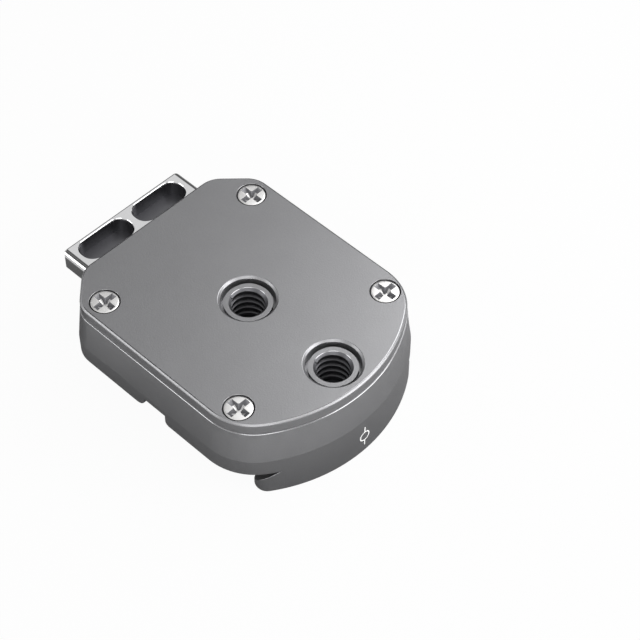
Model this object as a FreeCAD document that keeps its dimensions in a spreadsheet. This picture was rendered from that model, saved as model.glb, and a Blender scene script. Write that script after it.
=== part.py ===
"""Quick release plate: a flared plate body with a fixed dovetail jaw at its round end,
a sprung moving jaw worked by a pull tab at its tail, and a screwed cover.

Frame: the origin is on the axis of the centre threaded hole, at the hole's mouth.
+Z points out of the cover, +X towards the round end. Millimetres.
"""

import FreeCAD
import Part
import Sketcher

import math
import os
import re

# Driving sizes, in millimetres and degrees
SIZES = {
    # Plan outline of the cover and of the body's rim
    "hole_spacing": 18.0,
    "front_margin": 5.75,
    "tip_radius": 25.8,
    "end_corner_radius": 9.2,
    "half_width": 19.0,
    "tail_reach": 22.6,
    "facet_cut": 3.8,
    "facet_corner_radius": 4.2,
    # Levels, from the cover's face downwards
    "mouth_depth": 0.9,
    "cover_thickness": 2.0,
    "wall_height": 6.0,
    "band_height": 3.1,
    "jaw_height": 4.45,
    "wall_flare": 0.8,
    "cover_chamfer": 0.3,
    "rim_chamfer": 0.25,
    # Dovetail between the fixed jaw and the moving jaw
    "jaw_end_wall": 3.95,
    "dovetail_width": 38.2,
    "dovetail_angle": 42.0,
    "jaw_lip": 0.35,
    "jaw_corner_radius": 2.0,
    # Key groove across the underside
    "key_groove_offset": -0.35,
    "key_groove_width": 4.5,
    "key_groove_depth": 2.05,
    "key_groove_edge_radius": 0.8,
    "key_groove_lead_radius": 1.9,
    # Threaded holes, one quarter inch major diameter
    "thread_radius": 3.175,
    "thread_depth": 6.4,
    "thread_chamfer": 0.2,
    "boss_wall": 0.65,
    "boss_gap": 0.475,
    "boss_opening_chamfer": 0.34,
    # Cover screws
    "screw_tail_inset": 7.47,
    "screw_edge_margin": 2.87,
    "screw_front_angle": 66.1,
    "screw_side_inset": 3.41,
    "screw_radius": 1.25,
    "screw_length": 6.5,
    "screw_head_sink": 0.06,
    "screw_head_gap": 0.22,
    "countersink_radius": 2.42,
    "countersink_lead": 0.25,
    "countersink_angle": 90.0,
    "screw_hole_clearance": 0.15,
    "seat_clearance": 0.02,
    "recess_span": 3.7,
    "recess_arm_width": 1.0,
    "recess_depth": 1.2,
    "recess_foot_span": 1.5,
    "recess_foot_arm_width": 0.5,
    # Pull tab
    "tab_overhang": 6.5,
    "tab_side_wall": 6.6,
    "tab_inner_wall": 3.375,
    "tab_thickness": 3.4,
    "tab_inner_radius": 2.0,
    "tab_corner_radius": 1.0,
    "tab_edge_radius": 1.1,
    "tab_foot_edge_radius": 0.5,
    "tab_end_radius": 0.35,
    "grip_outer_wall": 0.8,
    "grip_side_wall": 2.0,
    "grip_width": 4.2,
    "grip_web": 1.6,
    "grip_depth": 2.6,
    "grip_corner_radius": 1.9,
    "grip_chamfer": 0.25,
    # Moving jaw, its crosshead and its travel
    "travel": 4.5,
    "jaw_back_wall": 4.7,
    "jaw_half_length": 12.0,
    "head_side_step": 1.0,
    "head_thickness": 2.1,
    "well_floor": 1.5,
    "jaw_back_corner_radius": 1.5,
    "jaw_screw_inset": 2.7,
    "jaw_screw_side": 3.5,
    "jaw_screw_radius": 1.0,
    "jaw_screw_length": 5.0,
    "jaw_countersink_radius": 2.0,
    "jaw_recess_span": 2.9,
    "jaw_recess_arm_width": 0.8,
    # Guide pins and return springs
    "pin_inset": 2.2,
    "pin_to_neck": 3.2,
    "pin_radius": 0.75,
    "pin_chamfer": 0.2,
    "pin_inner_seat": 2.2,
    "pin_end_recess": 0.3,
    "spring_mean_radius": 1.35,
    "spring_wire_width": 0.4,
    "spring_turns": 5.0,
    "spring_wall": 3.1,
    "spring_room": 0.42,
    # Clearances
    "slide_clearance": 0.1,
    "side_clearance": 0.15,
    "pin_running_clearance": 0.05,
    "end_clearance": 0.2,
}

# Two edges or levels nearer than this count as one place
NEAR = 0.01

doc = FreeCAD.newDocument("quick_release_plate")
sheet = doc.addObject("Spreadsheet::Sheet", "Sizes")
for row, (alias, number) in enumerate(SIZES.items(), start=1):
    sheet.set(f"A{row}", alias)
    sheet.set(f"B{row}", str(number))
    sheet.setAlias(f"B{row}", alias)
doc.recompute()


def words(expression):
    """Give each size in an expression its sheet, so that any object can read it."""

    def full(found):
        name = found.group(0)
        return f"Sizes.{name}" if name in SIZES else name

    return re.sub("[a-z_]+", full, expression)


def value(expression):
    """The number that an expression of sizes comes to."""
    result = sheet.evalExpression(words(expression))
    return float(getattr(result, "Value", result))


# Reaches and half widths that follow from the sizes
TIP_REACH = "hole_spacing + front_margin"
TIP_X = f"{TIP_REACH} - tip_radius"
BEND_Y = "half_width - end_corner_radius"
BEND_X = f"{TIP_X} + sqrt( ( tip_radius - end_corner_radius ) ^ 2 - ( {BEND_Y} ) ^ 2 )"
FACET_REACH = "( tail_reach + half_width ) / sqrt( 2 ) - facet_cut"
BOSS_RADIUS = "thread_radius + boss_wall"
OPENING_RADIUS = f"{BOSS_RADIUS} + boss_gap"
TAB_REACH = "tail_reach + tab_overhang"
TAB_HALF = "half_width - tab_side_wall"
HEAD_HALF = f"{TAB_HALF} - head_side_step"
PIN_SIDE = f"{HEAD_HALF} - pin_inset"
NECK_HALF = f"{PIN_SIDE} - pin_to_neck"

# Levels that several pieces share
TOP_Z = "mouth_depth"
RIM_Z = f"{TOP_Z} - cover_thickness"
BAND_Z = f"{RIM_Z} - wall_height"
BASE_Z = f"{BAND_Z} - band_height"
FOOT_Z = f"{BASE_Z} - jaw_height"
TAB_TOP_Z = f"{RIM_Z} - slide_clearance"
TAB_FLOOR_Z = f"{TAB_TOP_Z} - tab_thickness"
HEAD_FLOOR_Z = f"{BASE_Z} + well_floor + slide_clearance"
PIN_Z = f"( {TAB_FLOOR_Z} + {HEAD_FLOOR_Z} ) / 2"

# Places along X that the jaws, the head, the pins and the springs share
OVERHANG = "( jaw_height - jaw_lip ) / tan( dovetail_angle )"
APEX_X = f"{TIP_REACH} + wall_flare - jaw_end_wall"
NOSE_X = f"{APEX_X} - {OVERHANG}"
MOVING_APEX_X = f"{APEX_X} - dovetail_width"
MOVING_NOSE_X = f"{MOVING_APEX_X} + {OVERHANG}"
MOVING_BACK_X = f"{MOVING_APEX_X} - jaw_back_wall"
HEAD_INNER_X = f"0 - ( {BOSS_RADIUS} ) - tab_inner_wall"
HEAD_OUTER_X = f"{HEAD_INNER_X} - head_thickness"
STOP_X = f"{HEAD_OUTER_X} - travel"
JAW_SCREW_X = f"{HEAD_OUTER_X} - jaw_screw_inset"
POCKET_INNER_X = f"{HEAD_INNER_X} + end_clearance"
PIN_BLIND_X = f"{POCKET_INNER_X} + pin_inner_seat"
SPRING_SEAT_X = "spring_wall - tail_reach - wall_flare"
CHANNEL_HALF = "spring_mean_radius + spring_wire_width / 2 + spring_room"
CHANNEL_ROUND = f"0.8 * ( {CHANNEL_HALF} )"
FRONT_SCREW_X = f"{BEND_X} + ( end_corner_radius - screw_edge_margin ) * cos( screw_front_angle )"
FRONT_SCREW_Y = f"{BEND_Y} + ( end_corner_radius - screw_edge_margin ) * sin( screw_front_angle )"
SCREW_PLACES = [
    ("screw_tail_inset - tail_reach", "half_width - screw_side_inset"),
    ("screw_tail_inset - tail_reach", "screw_side_inset - half_width"),
    (FRONT_SCREW_X, FRONT_SCREW_Y),
    (FRONT_SCREW_X, f"0 - ( {FRONT_SCREW_Y} )"),
]
BOTH_SIDES = (PIN_SIDE, f"0 - ( {PIN_SIDE} )")
FAR = f"3 * ( {TIP_REACH} )"


def bind(item, prop, expression):
    """Let a property follow an expression of the sizes."""
    item.setExpression(prop, words(expression))


def new_body(label):
    """A new body that bears the name of its piece."""
    body = doc.addObject("PartDesign::Body", label)
    body.Label = label
    return body


def new_sketch(body, name, role, level="0"):
    """A sketch on one of the body's own planes, moved along the plane's normal."""
    sketch = body.newObject("Sketcher::SketchObject", name)
    planes = [item for item in body.Origin.OriginFeatures if item.Role == role]
    sketch.AttachmentSupport = [(planes[0], "")]
    sketch.MapMode = "FlatFace"
    bind(sketch, ".AttachmentOffset.Base.z", level)
    return sketch


def drive(sketch, index, expression):
    """Let one constraint of a sketch follow an expression of the sizes."""
    sketch.setExpression(f"Constraints[{index}]", words(expression))


def fix_point(sketch, geometry, end, x, y):
    """Hold a point of a sketch at a place given by two expressions."""
    rule = Sketcher.Constraint("DistanceX", -1, 1, geometry, end, value(x))
    drive(sketch, sketch.addConstraint(rule), x)
    rule = Sketcher.Constraint("DistanceY", -1, 1, geometry, end, value(y))
    drive(sketch, sketch.addConstraint(rule), y)


def draw_circle(sketch, x, y, radius):
    """A circle with its centre and radius bound to the sizes."""
    centre = FreeCAD.Vector(value(x), value(y), 0)
    circle = Part.Circle(centre, FreeCAD.Vector(0, 0, 1), value(radius))
    geometry = sketch.addGeometry(circle, False)
    fix_point(sketch, geometry, 3, x, y)
    rule = Sketcher.Constraint("Radius", geometry, value(radius))
    drive(sketch, sketch.addConstraint(rule), radius)
    return geometry


def arc(centre, radius, start, end):
    """An arc of a circle in the sketch's plane, anticlockwise, angles in radians."""
    circle = Part.Circle(centre, FreeCAD.Vector(0, 0, 1), radius)
    return Part.ArcOfCircle(circle, start, end)


def draw_outline(sketch, corners):
    """A closed outline of straight lines, some of whose corners are rounded.

    Each corner is (x, y) or (x, y, radius), all expressions of the sizes.
    """
    points = [FreeCAD.Vector(value(corner[0]), value(corner[1]), 0) for corner in corners]
    count = len(points)
    entries = []
    exits = []
    rounds = {}
    for index, corner in enumerate(corners):
        here = points[index]
        back = (points[index - 1] - here).normalize()
        ahead = (points[(index + 1) % count] - here).normalize()
        if len(corner) < 3:
            entries.append(here)
            exits.append(here)
            continue
        radius = value(corner[2])
        half = back.getAngle(ahead) / 2
        reach = radius / math.tan(half)
        entries.append(here + back * reach)
        exits.append(here + ahead * reach)
        centre = here + (back + ahead).normalize() * (radius / math.sin(half))
        turn = back.cross(ahead).z < 0
        rounds[index] = (centre, radius, turn)
    lines = []
    for index in range(count):
        segment = Part.LineSegment(exits[index], entries[(index + 1) % count])
        lines.append(sketch.addGeometry(segment, False))
    for index in range(count):
        before = lines[index - 1]
        after = lines[index]
        if index not in rounds:
            sketch.addConstraint(Sketcher.Constraint("Coincident", before, 2, after, 1))
            fix_point(sketch, after, 1, corners[index][0], corners[index][1])
            continue
        centre, radius, turn = rounds[index]
        first = entries[index] - centre
        last = exits[index] - centre
        if not turn:
            first, last = last, first
        start = math.atan2(first.y, first.x)
        end = math.atan2(last.y, last.x)
        bend = sketch.addGeometry(arc(centre, radius, start, end), False)
        sketch.addConstraint(Sketcher.Constraint("Tangent", before, 2, bend, 1 if turn else 2))
        sketch.addConstraint(Sketcher.Constraint("Tangent", bend, 2 if turn else 1, after, 1))
        rule = Sketcher.Constraint("Radius", bend, radius)
        drive(sketch, sketch.addConstraint(rule), corners[index][2])
        corner = sketch.addGeometry(Part.Point(points[index]), True)
        sketch.addConstraint(Sketcher.Constraint("PointOnObject", corner, 1, before))
        sketch.addConstraint(Sketcher.Constraint("PointOnObject", corner, 1, after))
        fix_point(sketch, corner, 1, corners[index][0], corners[index][1])


def plan_sketch(body, name, level, grow):
    """The plate's outline seen from above, set outwards all round by `grow`.

    Twelve tangent pieces: the round end, its two corners, two straight sides,
    two slanted flats with rounded corners, and the tail.
    """
    sketch = new_sketch(body, name, "XY_Plane", level)
    reach = value(f"{TIP_REACH} + {grow}")
    tip = value(f"tip_radius + {grow}")
    bend = value(f"end_corner_radius + {grow}")
    half = value(f"half_width + {grow}")
    tail = value(f"tail_reach + {grow}")
    facet = value(f"{FACET_REACH} + {grow}")
    soft = value(f"facet_corner_radius + {grow}")
    tip_x = reach - tip
    bend_x = value(BEND_X)
    bend_y = value(BEND_Y)
    swing = math.atan2(bend_y, bend_x - tip_x)
    cut = soft * math.tan(math.radians(22.5))
    side_x = half - facet * math.sqrt(2) + cut
    tail_y = facet * math.sqrt(2) - tail - cut
    slant = soft / math.sqrt(2)
    upper = FreeCAD.Vector(side_x, half - soft, 0)
    lower = FreeCAD.Vector(soft - tail, tail_y, 0)
    away = FreeCAD.Vector(-slant, slant, 0)
    quarter = math.pi / 4

    def mirrored(point):
        return FreeCAD.Vector(point.x, -point.y, 0)

    def line(start, end):
        return Part.LineSegment(start, end)

    pieces = [
        arc(FreeCAD.Vector(tip_x, 0, 0), tip, -swing, swing),
        arc(FreeCAD.Vector(bend_x, bend_y, 0), bend, swing, 2 * quarter),
        line(FreeCAD.Vector(bend_x, half, 0), FreeCAD.Vector(side_x, half, 0)),
        arc(upper, soft, 2 * quarter, 3 * quarter),
        line(upper + away, lower + away),
        arc(lower, soft, 3 * quarter, 4 * quarter),
        line(FreeCAD.Vector(-tail, tail_y, 0), FreeCAD.Vector(-tail, -tail_y, 0)),
        arc(mirrored(lower), soft, 4 * quarter, 5 * quarter),
        line(mirrored(lower + away), mirrored(upper + away)),
        arc(mirrored(upper), soft, 5 * quarter, 6 * quarter),
        line(FreeCAD.Vector(side_x, -half, 0), FreeCAD.Vector(bend_x, -half, 0)),
        arc(FreeCAD.Vector(bend_x, -bend_y, 0), bend, 6 * quarter, 8 * quarter - swing),
    ]
    sketch.addGeometry(pieces, False)
    for index in range(12):
        rule = Sketcher.Constraint("Tangent", index, 2, (index + 1) % 12, 1)
        sketch.addConstraint(rule)
    sketch.addConstraint(Sketcher.Constraint("Equal", 1, 11))
    for index in (5, 7, 9):
        sketch.addConstraint(Sketcher.Constraint("Equal", 3, index))
    sketch.addConstraint(Sketcher.Constraint("PointOnObject", 0, 3, -1))
    for index in (2, 10):
        sketch.addConstraint(Sketcher.Constraint("Horizontal", index))
    sketch.addConstraint(Sketcher.Constraint("Vertical", 6))
    sketch.addConstraint(Sketcher.Constraint("Angle", 4, -3 * quarter))
    sketch.addConstraint(Sketcher.Constraint("Angle", 8, -quarter))
    driven = [
        (Sketcher.Constraint("Radius", 0, tip), f"tip_radius + {grow}"),
        (Sketcher.Constraint("Radius", 1, bend), f"end_corner_radius + {grow}"),
        (Sketcher.Constraint("Radius", 3, soft), f"facet_corner_radius + {grow}"),
        (Sketcher.Constraint("DistanceX", -1, 1, 0, 3, tip_x), TIP_X),
        (Sketcher.Constraint("DistanceY", -1, 1, 2, 1, half), f"half_width + {grow}"),
        (Sketcher.Constraint("DistanceY", 10, 1, -1, 1, half), f"half_width + {grow}"),
        (Sketcher.Constraint("DistanceX", 6, 1, -1, 1, tail), f"tail_reach + {grow}"),
        (Sketcher.Constraint("Distance", -1, 1, 4, facet), f"{FACET_REACH} + {grow}"),
        (Sketcher.Constraint("Distance", -1, 1, 8, facet), f"{FACET_REACH} + {grow}"),
    ]
    for rule, expression in driven:
        drive(sketch, sketch.addConstraint(rule), expression)
    return sketch


def pad(body, name, sketch, length, downwards=False, midplane=False):
    """Add a sketch's area, carried along its normal."""
    feature = body.newObject("PartDesign::Pad", name)
    feature.Profile = sketch
    bind(feature, "Length", length)
    feature.Reversed = downwards
    if midplane:
        feature.SideType = "Symmetric"
    doc.recompute()
    return feature


def pocket(body, name, sketch, length, reverse=False, midplane=False):
    """Cut a sketch's area, carried against its normal unless reversed."""
    feature = body.newObject("PartDesign::Pocket", name)
    feature.Profile = sketch
    bind(feature, "Length", length)
    feature.Reversed = reverse
    if midplane:
        feature.SideType = "Symmetric"
    doc.recompute()
    return feature


def edges_of(feature, wanted):
    """The names of a feature's edges whose edge satisfies `wanted`."""
    names = []
    for number, edge in enumerate(feature.Shape.Edges, start=1):
        if wanted(edge):
            names.append(f"Edge{number}")
    return names


def is_circle(edge, radius, level):
    """Whether an edge is a flat circle of the given radius at the given height."""
    box = edge.BoundBox
    at_level = abs(box.ZMin - value(level)) < NEAR and abs(box.ZMax - value(level)) < NEAR
    return at_level and hasattr(edge.Curve, "Radius") and abs(edge.Curve.Radius - value(radius)) < NEAR


def dress(body, kind, name, base, edges, size):
    """A chamfer or fillet on named edges of a feature."""
    feature = body.newObject(f"PartDesign::{kind}", name)
    feature.Base = (base, edges)
    bind(feature, "Size" if kind == "Chamfer" else "Radius", size)
    doc.recompute()
    return feature


def make_housing():
    """The plate body: flared wall, fixed jaw, threaded bosses and the tab's pocket."""
    body = new_body("housing")
    rim = plan_sketch(body, "rim_outline", RIM_Z, "( 0 - rim_chamfer )")
    wall_top = plan_sketch(body, "wall_top_outline", f"{RIM_Z} - rim_chamfer", "0")
    wall_foot = plan_sketch(body, "wall_foot_outline", BAND_Z, "wall_flare")
    doc.recompute()
    wall = body.newObject("PartDesign::AdditiveLoft", "flared_wall")
    wall.Profile = rim
    wall.Sections = [wall_top, wall_foot]
    wall.Ruled = True
    doc.recompute()
    band = plan_sketch(body, "band_outline", BASE_Z, "wall_flare")
    pad(body, "straight_band", band, "band_height")

    pad(body, "fixed_jaw", jaw_sketch(body), "jaw_height")
    undercut = new_sketch(body, "undercut_profile", "XZ_Plane")
    draw_outline(undercut, [
        ("0", f"{FOOT_Z} + jaw_lip"),
        (NOSE_X, f"{FOOT_Z} + jaw_lip"),
        (APEX_X, BASE_Z),
        ("0", BASE_Z),
    ])
    pocket(body, "undercut", undercut, "2 * half_width + 4 * wall_flare", midplane=True)

    groove = new_sketch(body, "key_groove_profile", "XZ_Plane")
    left = "key_groove_offset - key_groove_width / 2"
    right = "key_groove_offset + key_groove_width / 2"
    lead = "key_groove_lead_radius"
    edge = "key_groove_edge_radius"
    draw_outline(groove, [
        (left, f"{BASE_Z} + key_groove_depth"),
        (left, BASE_Z, lead),
        (f"{left} - 2 * {lead}", BASE_Z),
        (f"{left} - 2 * {lead}", f"{BASE_Z} - {edge}"),
        (f"{right} + 2 * {edge}", f"{BASE_Z} - {edge}"),
        (f"{right} + 2 * {edge}", BASE_Z),
        (right, BASE_Z, edge),
        (right, f"{BASE_Z} + key_groove_depth"),
    ])
    pocket(body, "key_groove", groove, "2 * half_width + 4 * wall_flare", midplane=True)

    bosses = new_sketch(body, "boss_outline", "XY_Plane", RIM_Z)
    draw_circle(bosses, "0", "0", BOSS_RADIUS)
    draw_circle(bosses, "hole_spacing", "0", BOSS_RADIUS)
    pad(body, "threaded_bosses", bosses, f"0 - ( {RIM_Z} )")
    bores = new_sketch(body, "threaded_bore_outline", "XY_Plane")
    draw_circle(bores, "0", "0", "thread_radius")
    draw_circle(bores, "hole_spacing", "0", "thread_radius")
    bored = pocket(body, "threaded_bores", bores, "thread_depth")
    mouths = edges_of(bored, lambda edge: is_circle(edge, "thread_radius", "0"))
    dress(body, "Chamfer", "bore_chamfer", bored, mouths, "thread_chamfer")

    seat = new_sketch(body, "tab_seat_outline", "XY_Plane", RIM_Z)
    wide = f"{TAB_HALF} + side_clearance"
    draw_outline(seat, [
        (f"0 - {FAR}", f"0 - ( {wide} )"),
        (POCKET_INNER_X, f"0 - ( {wide} )", "tab_inner_radius"),
        (POCKET_INNER_X, wide, "tab_inner_radius"),
        (f"0 - {FAR}", wide),
    ])
    pocket(body, "tab_seat", seat, "tab_thickness + 2 * slide_clearance")
    window = new_sketch(body, "neck_window_outline", "XY_Plane", TAB_FLOOR_Z)
    narrow = f"{NECK_HALF} + side_clearance"
    draw_outline(window, [
        (f"0 - {FAR}", f"0 - ( {narrow} )"),
        (POCKET_INNER_X, f"0 - ( {narrow} )"),
        (POCKET_INNER_X, narrow),
        (f"0 - {FAR}", narrow),
    ])
    pocket(body, "neck_window", window, f"{TAB_FLOOR_Z} - ( {BASE_Z} )")
    well = new_sketch(body, "head_well_outline", "XY_Plane", TAB_FLOOR_Z)
    reach = f"{HEAD_HALF} + side_clearance"
    draw_outline(well, [
        (STOP_X, f"0 - ( {reach} )"),
        (POCKET_INNER_X, f"0 - ( {reach} )"),
        (POCKET_INNER_X, reach),
        (STOP_X, reach),
    ])
    pocket(body, "head_well", well, f"{TAB_FLOOR_Z} - ( {BASE_Z} ) - well_floor")
    channels = new_sketch(body, "spring_channel_profile", "YZ_Plane", STOP_X)
    low = f"{PIN_Z} - ( {CHANNEL_HALF} )"
    for side in BOTH_SIDES:
        draw_outline(channels, [
            (f"{side} - ( {CHANNEL_HALF} )", TAB_FLOOR_Z),
            (f"{side} - ( {CHANNEL_HALF} )", low, CHANNEL_ROUND),
            (f"{side} + {CHANNEL_HALF}", low, CHANNEL_ROUND),
            (f"{side} + {CHANNEL_HALF}", TAB_FLOOR_Z),
        ])
    pocket(body, "spring_channels", channels, f"{STOP_X} - ( {SPRING_SEAT_X} )")
    pins = new_sketch(body, "pin_bore_outline", "YZ_Plane", PIN_BLIND_X)
    for side in BOTH_SIDES:
        draw_circle(pins, side, PIN_Z, "pin_radius + seat_clearance")
    pocket(body, "pin_bores", pins, FAR)
    drilled = new_sketch(body, "cover_screw_bore_outline", "XY_Plane", RIM_Z)
    for x, y in SCREW_PLACES:
        draw_circle(drilled, x, y, "screw_radius + seat_clearance")
    pocket(body, "cover_screw_bores", drilled, "screw_length + end_clearance - cover_thickness")
    return body


def jaw_sketch(body):
    """The fixed jaw's foot: the round end, closed by the nose across the plate.

    Each end of the nose turns through a small radius and runs out tangent to the
    large radius of the round end.
    """
    sketch = new_sketch(body, "fixed_jaw_outline", "XY_Plane", FOOT_Z)
    nose = value(NOSE_X)
    tip = value("tip_radius + wall_flare")
    small = value("jaw_corner_radius")
    tip_x = value(TIP_X)
    small_x = nose + small
    small_y = math.sqrt((tip - small) ** 2 - (small_x - tip_x) ** 2)
    swing = math.atan2(small_y, small_x - tip_x)
    pieces = [
        arc(FreeCAD.Vector(tip_x, 0, 0), tip, -swing, swing),
        arc(FreeCAD.Vector(small_x, small_y, 0), small, swing, math.pi),
        Part.LineSegment(FreeCAD.Vector(nose, small_y, 0), FreeCAD.Vector(nose, -small_y, 0)),
        arc(FreeCAD.Vector(small_x, -small_y, 0), small, math.pi, 2 * math.pi - swing),
    ]
    sketch.addGeometry(pieces, False)
    for index in range(4):
        rule = Sketcher.Constraint("Tangent", index, 2, (index + 1) % 4, 1)
        sketch.addConstraint(rule)
    sketch.addConstraint(Sketcher.Constraint("Equal", 1, 3))
    sketch.addConstraint(Sketcher.Constraint("PointOnObject", 0, 3, -1))
    sketch.addConstraint(Sketcher.Constraint("Vertical", 2))
    driven = [
        (Sketcher.Constraint("Radius", 0, tip), "tip_radius + wall_flare"),
        (Sketcher.Constraint("Radius", 1, small), "jaw_corner_radius"),
        (Sketcher.Constraint("DistanceX", -1, 1, 0, 3, tip_x), TIP_X),
        (Sketcher.Constraint("DistanceX", -1, 1, 2, 1, nose), NOSE_X),
    ]
    for rule, expression in driven:
        drive(sketch, sketch.addConstraint(rule), expression)
    return sketch


def make_cover():
    """The cover plate, with openings for the bosses and countersunk screw holes."""
    body = new_body("cover_plate")
    pad(body, "cover_blank", plan_sketch(body, "cover_outline", RIM_Z, "0"), "cover_thickness")
    top = body.Tip
    rim = edges_of(top, lambda edge: edge.BoundBox.ZMin > value(TOP_Z) - NEAR)
    dress(body, "Chamfer", "cover_edge_chamfer", top, rim, "cover_chamfer")
    openings = new_sketch(body, "boss_opening_outline", "XY_Plane", TOP_Z)
    draw_circle(openings, "0", "0", OPENING_RADIUS)
    draw_circle(openings, "hole_spacing", "0", OPENING_RADIUS)
    cut = pocket(body, "boss_openings", openings, "2 * cover_thickness")
    mouths = edges_of(cut, lambda edge: is_circle(edge, OPENING_RADIUS, TOP_Z))
    dress(body, "Chamfer", "opening_chamfer", cut, mouths, "boss_opening_chamfer")
    places = new_sketch(body, "screw_places", "XY_Plane", TOP_Z)
    for x, y in SCREW_PLACES:
        draw_circle(places, x, y, "screw_radius")
    doc.recompute()
    holes = body.newObject("PartDesign::Hole", "countersunk_holes")
    holes.Profile = places
    holes.Threaded = False
    holes.DepthType = "ThroughAll"
    bind(holes, "Diameter", "2 * ( screw_radius + screw_hole_clearance )")
    holes.HoleCutType = "Counterdrill"
    bind(holes, "HoleCutDiameter", "2 * countersink_radius")
    bind(holes, "HoleCutDepth", "countersink_lead")
    bind(holes, "HoleCutCountersinkAngle", "countersink_angle")
    doc.recompute()
    return body


def cross_sketch(body, name, level, span, arm):
    """The outline of a screw's cross recess at one depth."""
    cross = new_sketch(body, name, "XY_Plane", level)
    wide = f"{arm} / 2"
    reach = f"{span} / 2"
    draw_outline(cross, [
        (wide, wide), (wide, reach), (f"0 - {wide}", reach), (f"0 - {wide}", wide),
        (f"0 - {reach}", wide), (f"0 - {reach}", f"0 - {wide}"),
        (f"0 - {wide}", f"0 - {wide}"), (f"0 - {wide}", f"0 - {reach}"),
        (wide, f"0 - {reach}"), (wide, f"0 - {wide}"),
        (reach, f"0 - {wide}"), (reach, wide),
    ])
    return cross


def make_screw(label, x, y, z, sizes):
    """A countersunk cross-recess screw that seats in a countersink whose mouth is at height z."""
    radius, mouth, length, span, arm = sizes
    body = new_body(label)
    profile = new_sketch(body, f"{label}_profile", "XZ_Plane")
    slope = "tan( countersink_angle / 2 )"
    head = f"{mouth} - screw_head_gap"
    land = f"countersink_lead + ( screw_head_gap - seat_clearance ) / {slope} - screw_head_sink"
    cone = f"( {head} - {radius} ) / {slope}"
    draw_outline(profile, [
        ("0", "0"),
        (head, "0"),
        (head, f"0 - ( {land} )"),
        (radius, f"0 - ( {land} ) - {cone}"),
        (radius, f"0 - {length}"),
        ("0", f"0 - {length}"),
    ])
    doc.recompute()
    turned = body.newObject("PartDesign::Revolution", f"{label}_turned")
    turned.Profile = profile
    turned.ReferenceAxis = (profile, ["V_Axis"])
    doc.recompute()
    mouth_cross = cross_sketch(body, f"{label}_cross", "0", span, arm)
    foot_cross = cross_sketch(
        body, f"{label}_cross_foot", "0 - recess_depth", "recess_foot_span", "recess_foot_arm_width",
    )
    doc.recompute()
    recess = body.newObject("PartDesign::SubtractiveLoft", f"{label}_recess")
    recess.Profile = mouth_cross
    recess.Sections = [foot_cross]
    recess.Ruled = True
    bind(body, ".Placement.Base.x", x)
    bind(body, ".Placement.Base.y", y)
    bind(body, ".Placement.Base.z", f"{z} - screw_head_sink")
    doc.recompute()
    return body


def make_tab():
    """The pull tab: a plate with rounded sides, two grip pockets and two screw holes."""
    body = new_body("release_tab")
    section = new_sketch(body, "tab_section", "YZ_Plane", f"0 - ( {TAB_REACH} )")
    half = TAB_HALF
    draw_outline(section, [
        (f"0 - ( {half} )", TAB_FLOOR_Z, "tab_foot_edge_radius"),
        (half, TAB_FLOOR_Z, "tab_foot_edge_radius"),
        (half, TAB_TOP_Z, "tab_edge_radius"),
        (f"0 - ( {half} )", TAB_TOP_Z, "tab_edge_radius"),
    ])
    blank = pad(body, "tab_blank", section, f"{TAB_REACH} + {HEAD_INNER_X}")
    end = value(f"0 - ( {TAB_REACH} )") + NEAR
    rim = edges_of(blank, lambda edge: edge.BoundBox.XMax < end)
    dress(body, "Fillet", "tab_end_round", blank, rim, "tab_end_radius")
    plan = new_sketch(body, "tab_plan", "XY_Plane", TAB_TOP_Z)
    out = f"0 - ( {TAB_REACH} )"
    draw_outline(plan, [
        (f"{out} - tab_thickness", f"0 - ( {half} ) - tab_thickness"),
        (f"{HEAD_INNER_X} + tab_thickness", f"0 - ( {half} ) - tab_thickness"),
        (f"{HEAD_INNER_X} + tab_thickness", f"{half} + tab_thickness"),
        (f"{out} - tab_thickness", f"{half} + tab_thickness"),
    ])
    draw_outline(plan, [
        (out, f"0 - ( {half} )", "tab_corner_radius"),
        (HEAD_INNER_X, f"0 - ( {half} )", "tab_inner_radius"),
        (HEAD_INNER_X, half, "tab_inner_radius"),
        (out, half, "tab_corner_radius"),
    ])
    pocket(body, "tab_corners", plan, "2 * tab_thickness", midplane=True)
    grips = new_sketch(body, "grip_outline", "XY_Plane", TAB_TOP_Z)
    outer = f"grip_outer_wall - ( {TAB_REACH} )"
    inner = f"{outer} + grip_width"
    side = f"{half} - grip_side_wall"
    for near, far in (("grip_web / 2", side), (f"0 - ( {side} )", "0 - grip_web / 2")):
        draw_outline(grips, [
            (outer, near, "grip_corner_radius"),
            (inner, near, "grip_corner_radius"),
            (inner, far, "grip_corner_radius"),
            (outer, far, "grip_corner_radius"),
        ])
    cut = pocket(body, "grip_pockets", grips, "grip_depth")
    top = value(TAB_TOP_Z)
    inside = value(side) + NEAR

    def on_grip_rim(edge):
        box = edge.BoundBox
        flat = box.ZMin > top - NEAR
        within = box.XMax < value(inner) + NEAR and box.XMin > value(outer) - NEAR
        return flat and within and max(abs(box.YMin), abs(box.YMax)) < inside

    dress(body, "Chamfer", "grip_chamfer_rim", cut, edges_of(cut, on_grip_rim), "grip_chamfer")
    places = new_sketch(body, "jaw_screw_places", "XY_Plane", TAB_TOP_Z)
    for side in ("jaw_screw_side", "0 - jaw_screw_side"):
        draw_circle(places, JAW_SCREW_X, side, "jaw_screw_radius")
    doc.recompute()
    holes = body.newObject("PartDesign::Hole", "jaw_screw_holes")
    holes.Profile = places
    holes.Threaded = False
    holes.DepthType = "ThroughAll"
    bind(holes, "Diameter", "2 * ( jaw_screw_radius + screw_hole_clearance )")
    holes.HoleCutType = "Counterdrill"
    bind(holes, "HoleCutDiameter", "2 * jaw_countersink_radius")
    bind(holes, "HoleCutDepth", "countersink_lead")
    bind(holes, "HoleCutCountersinkAngle", "countersink_angle")
    doc.recompute()
    return body


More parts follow.
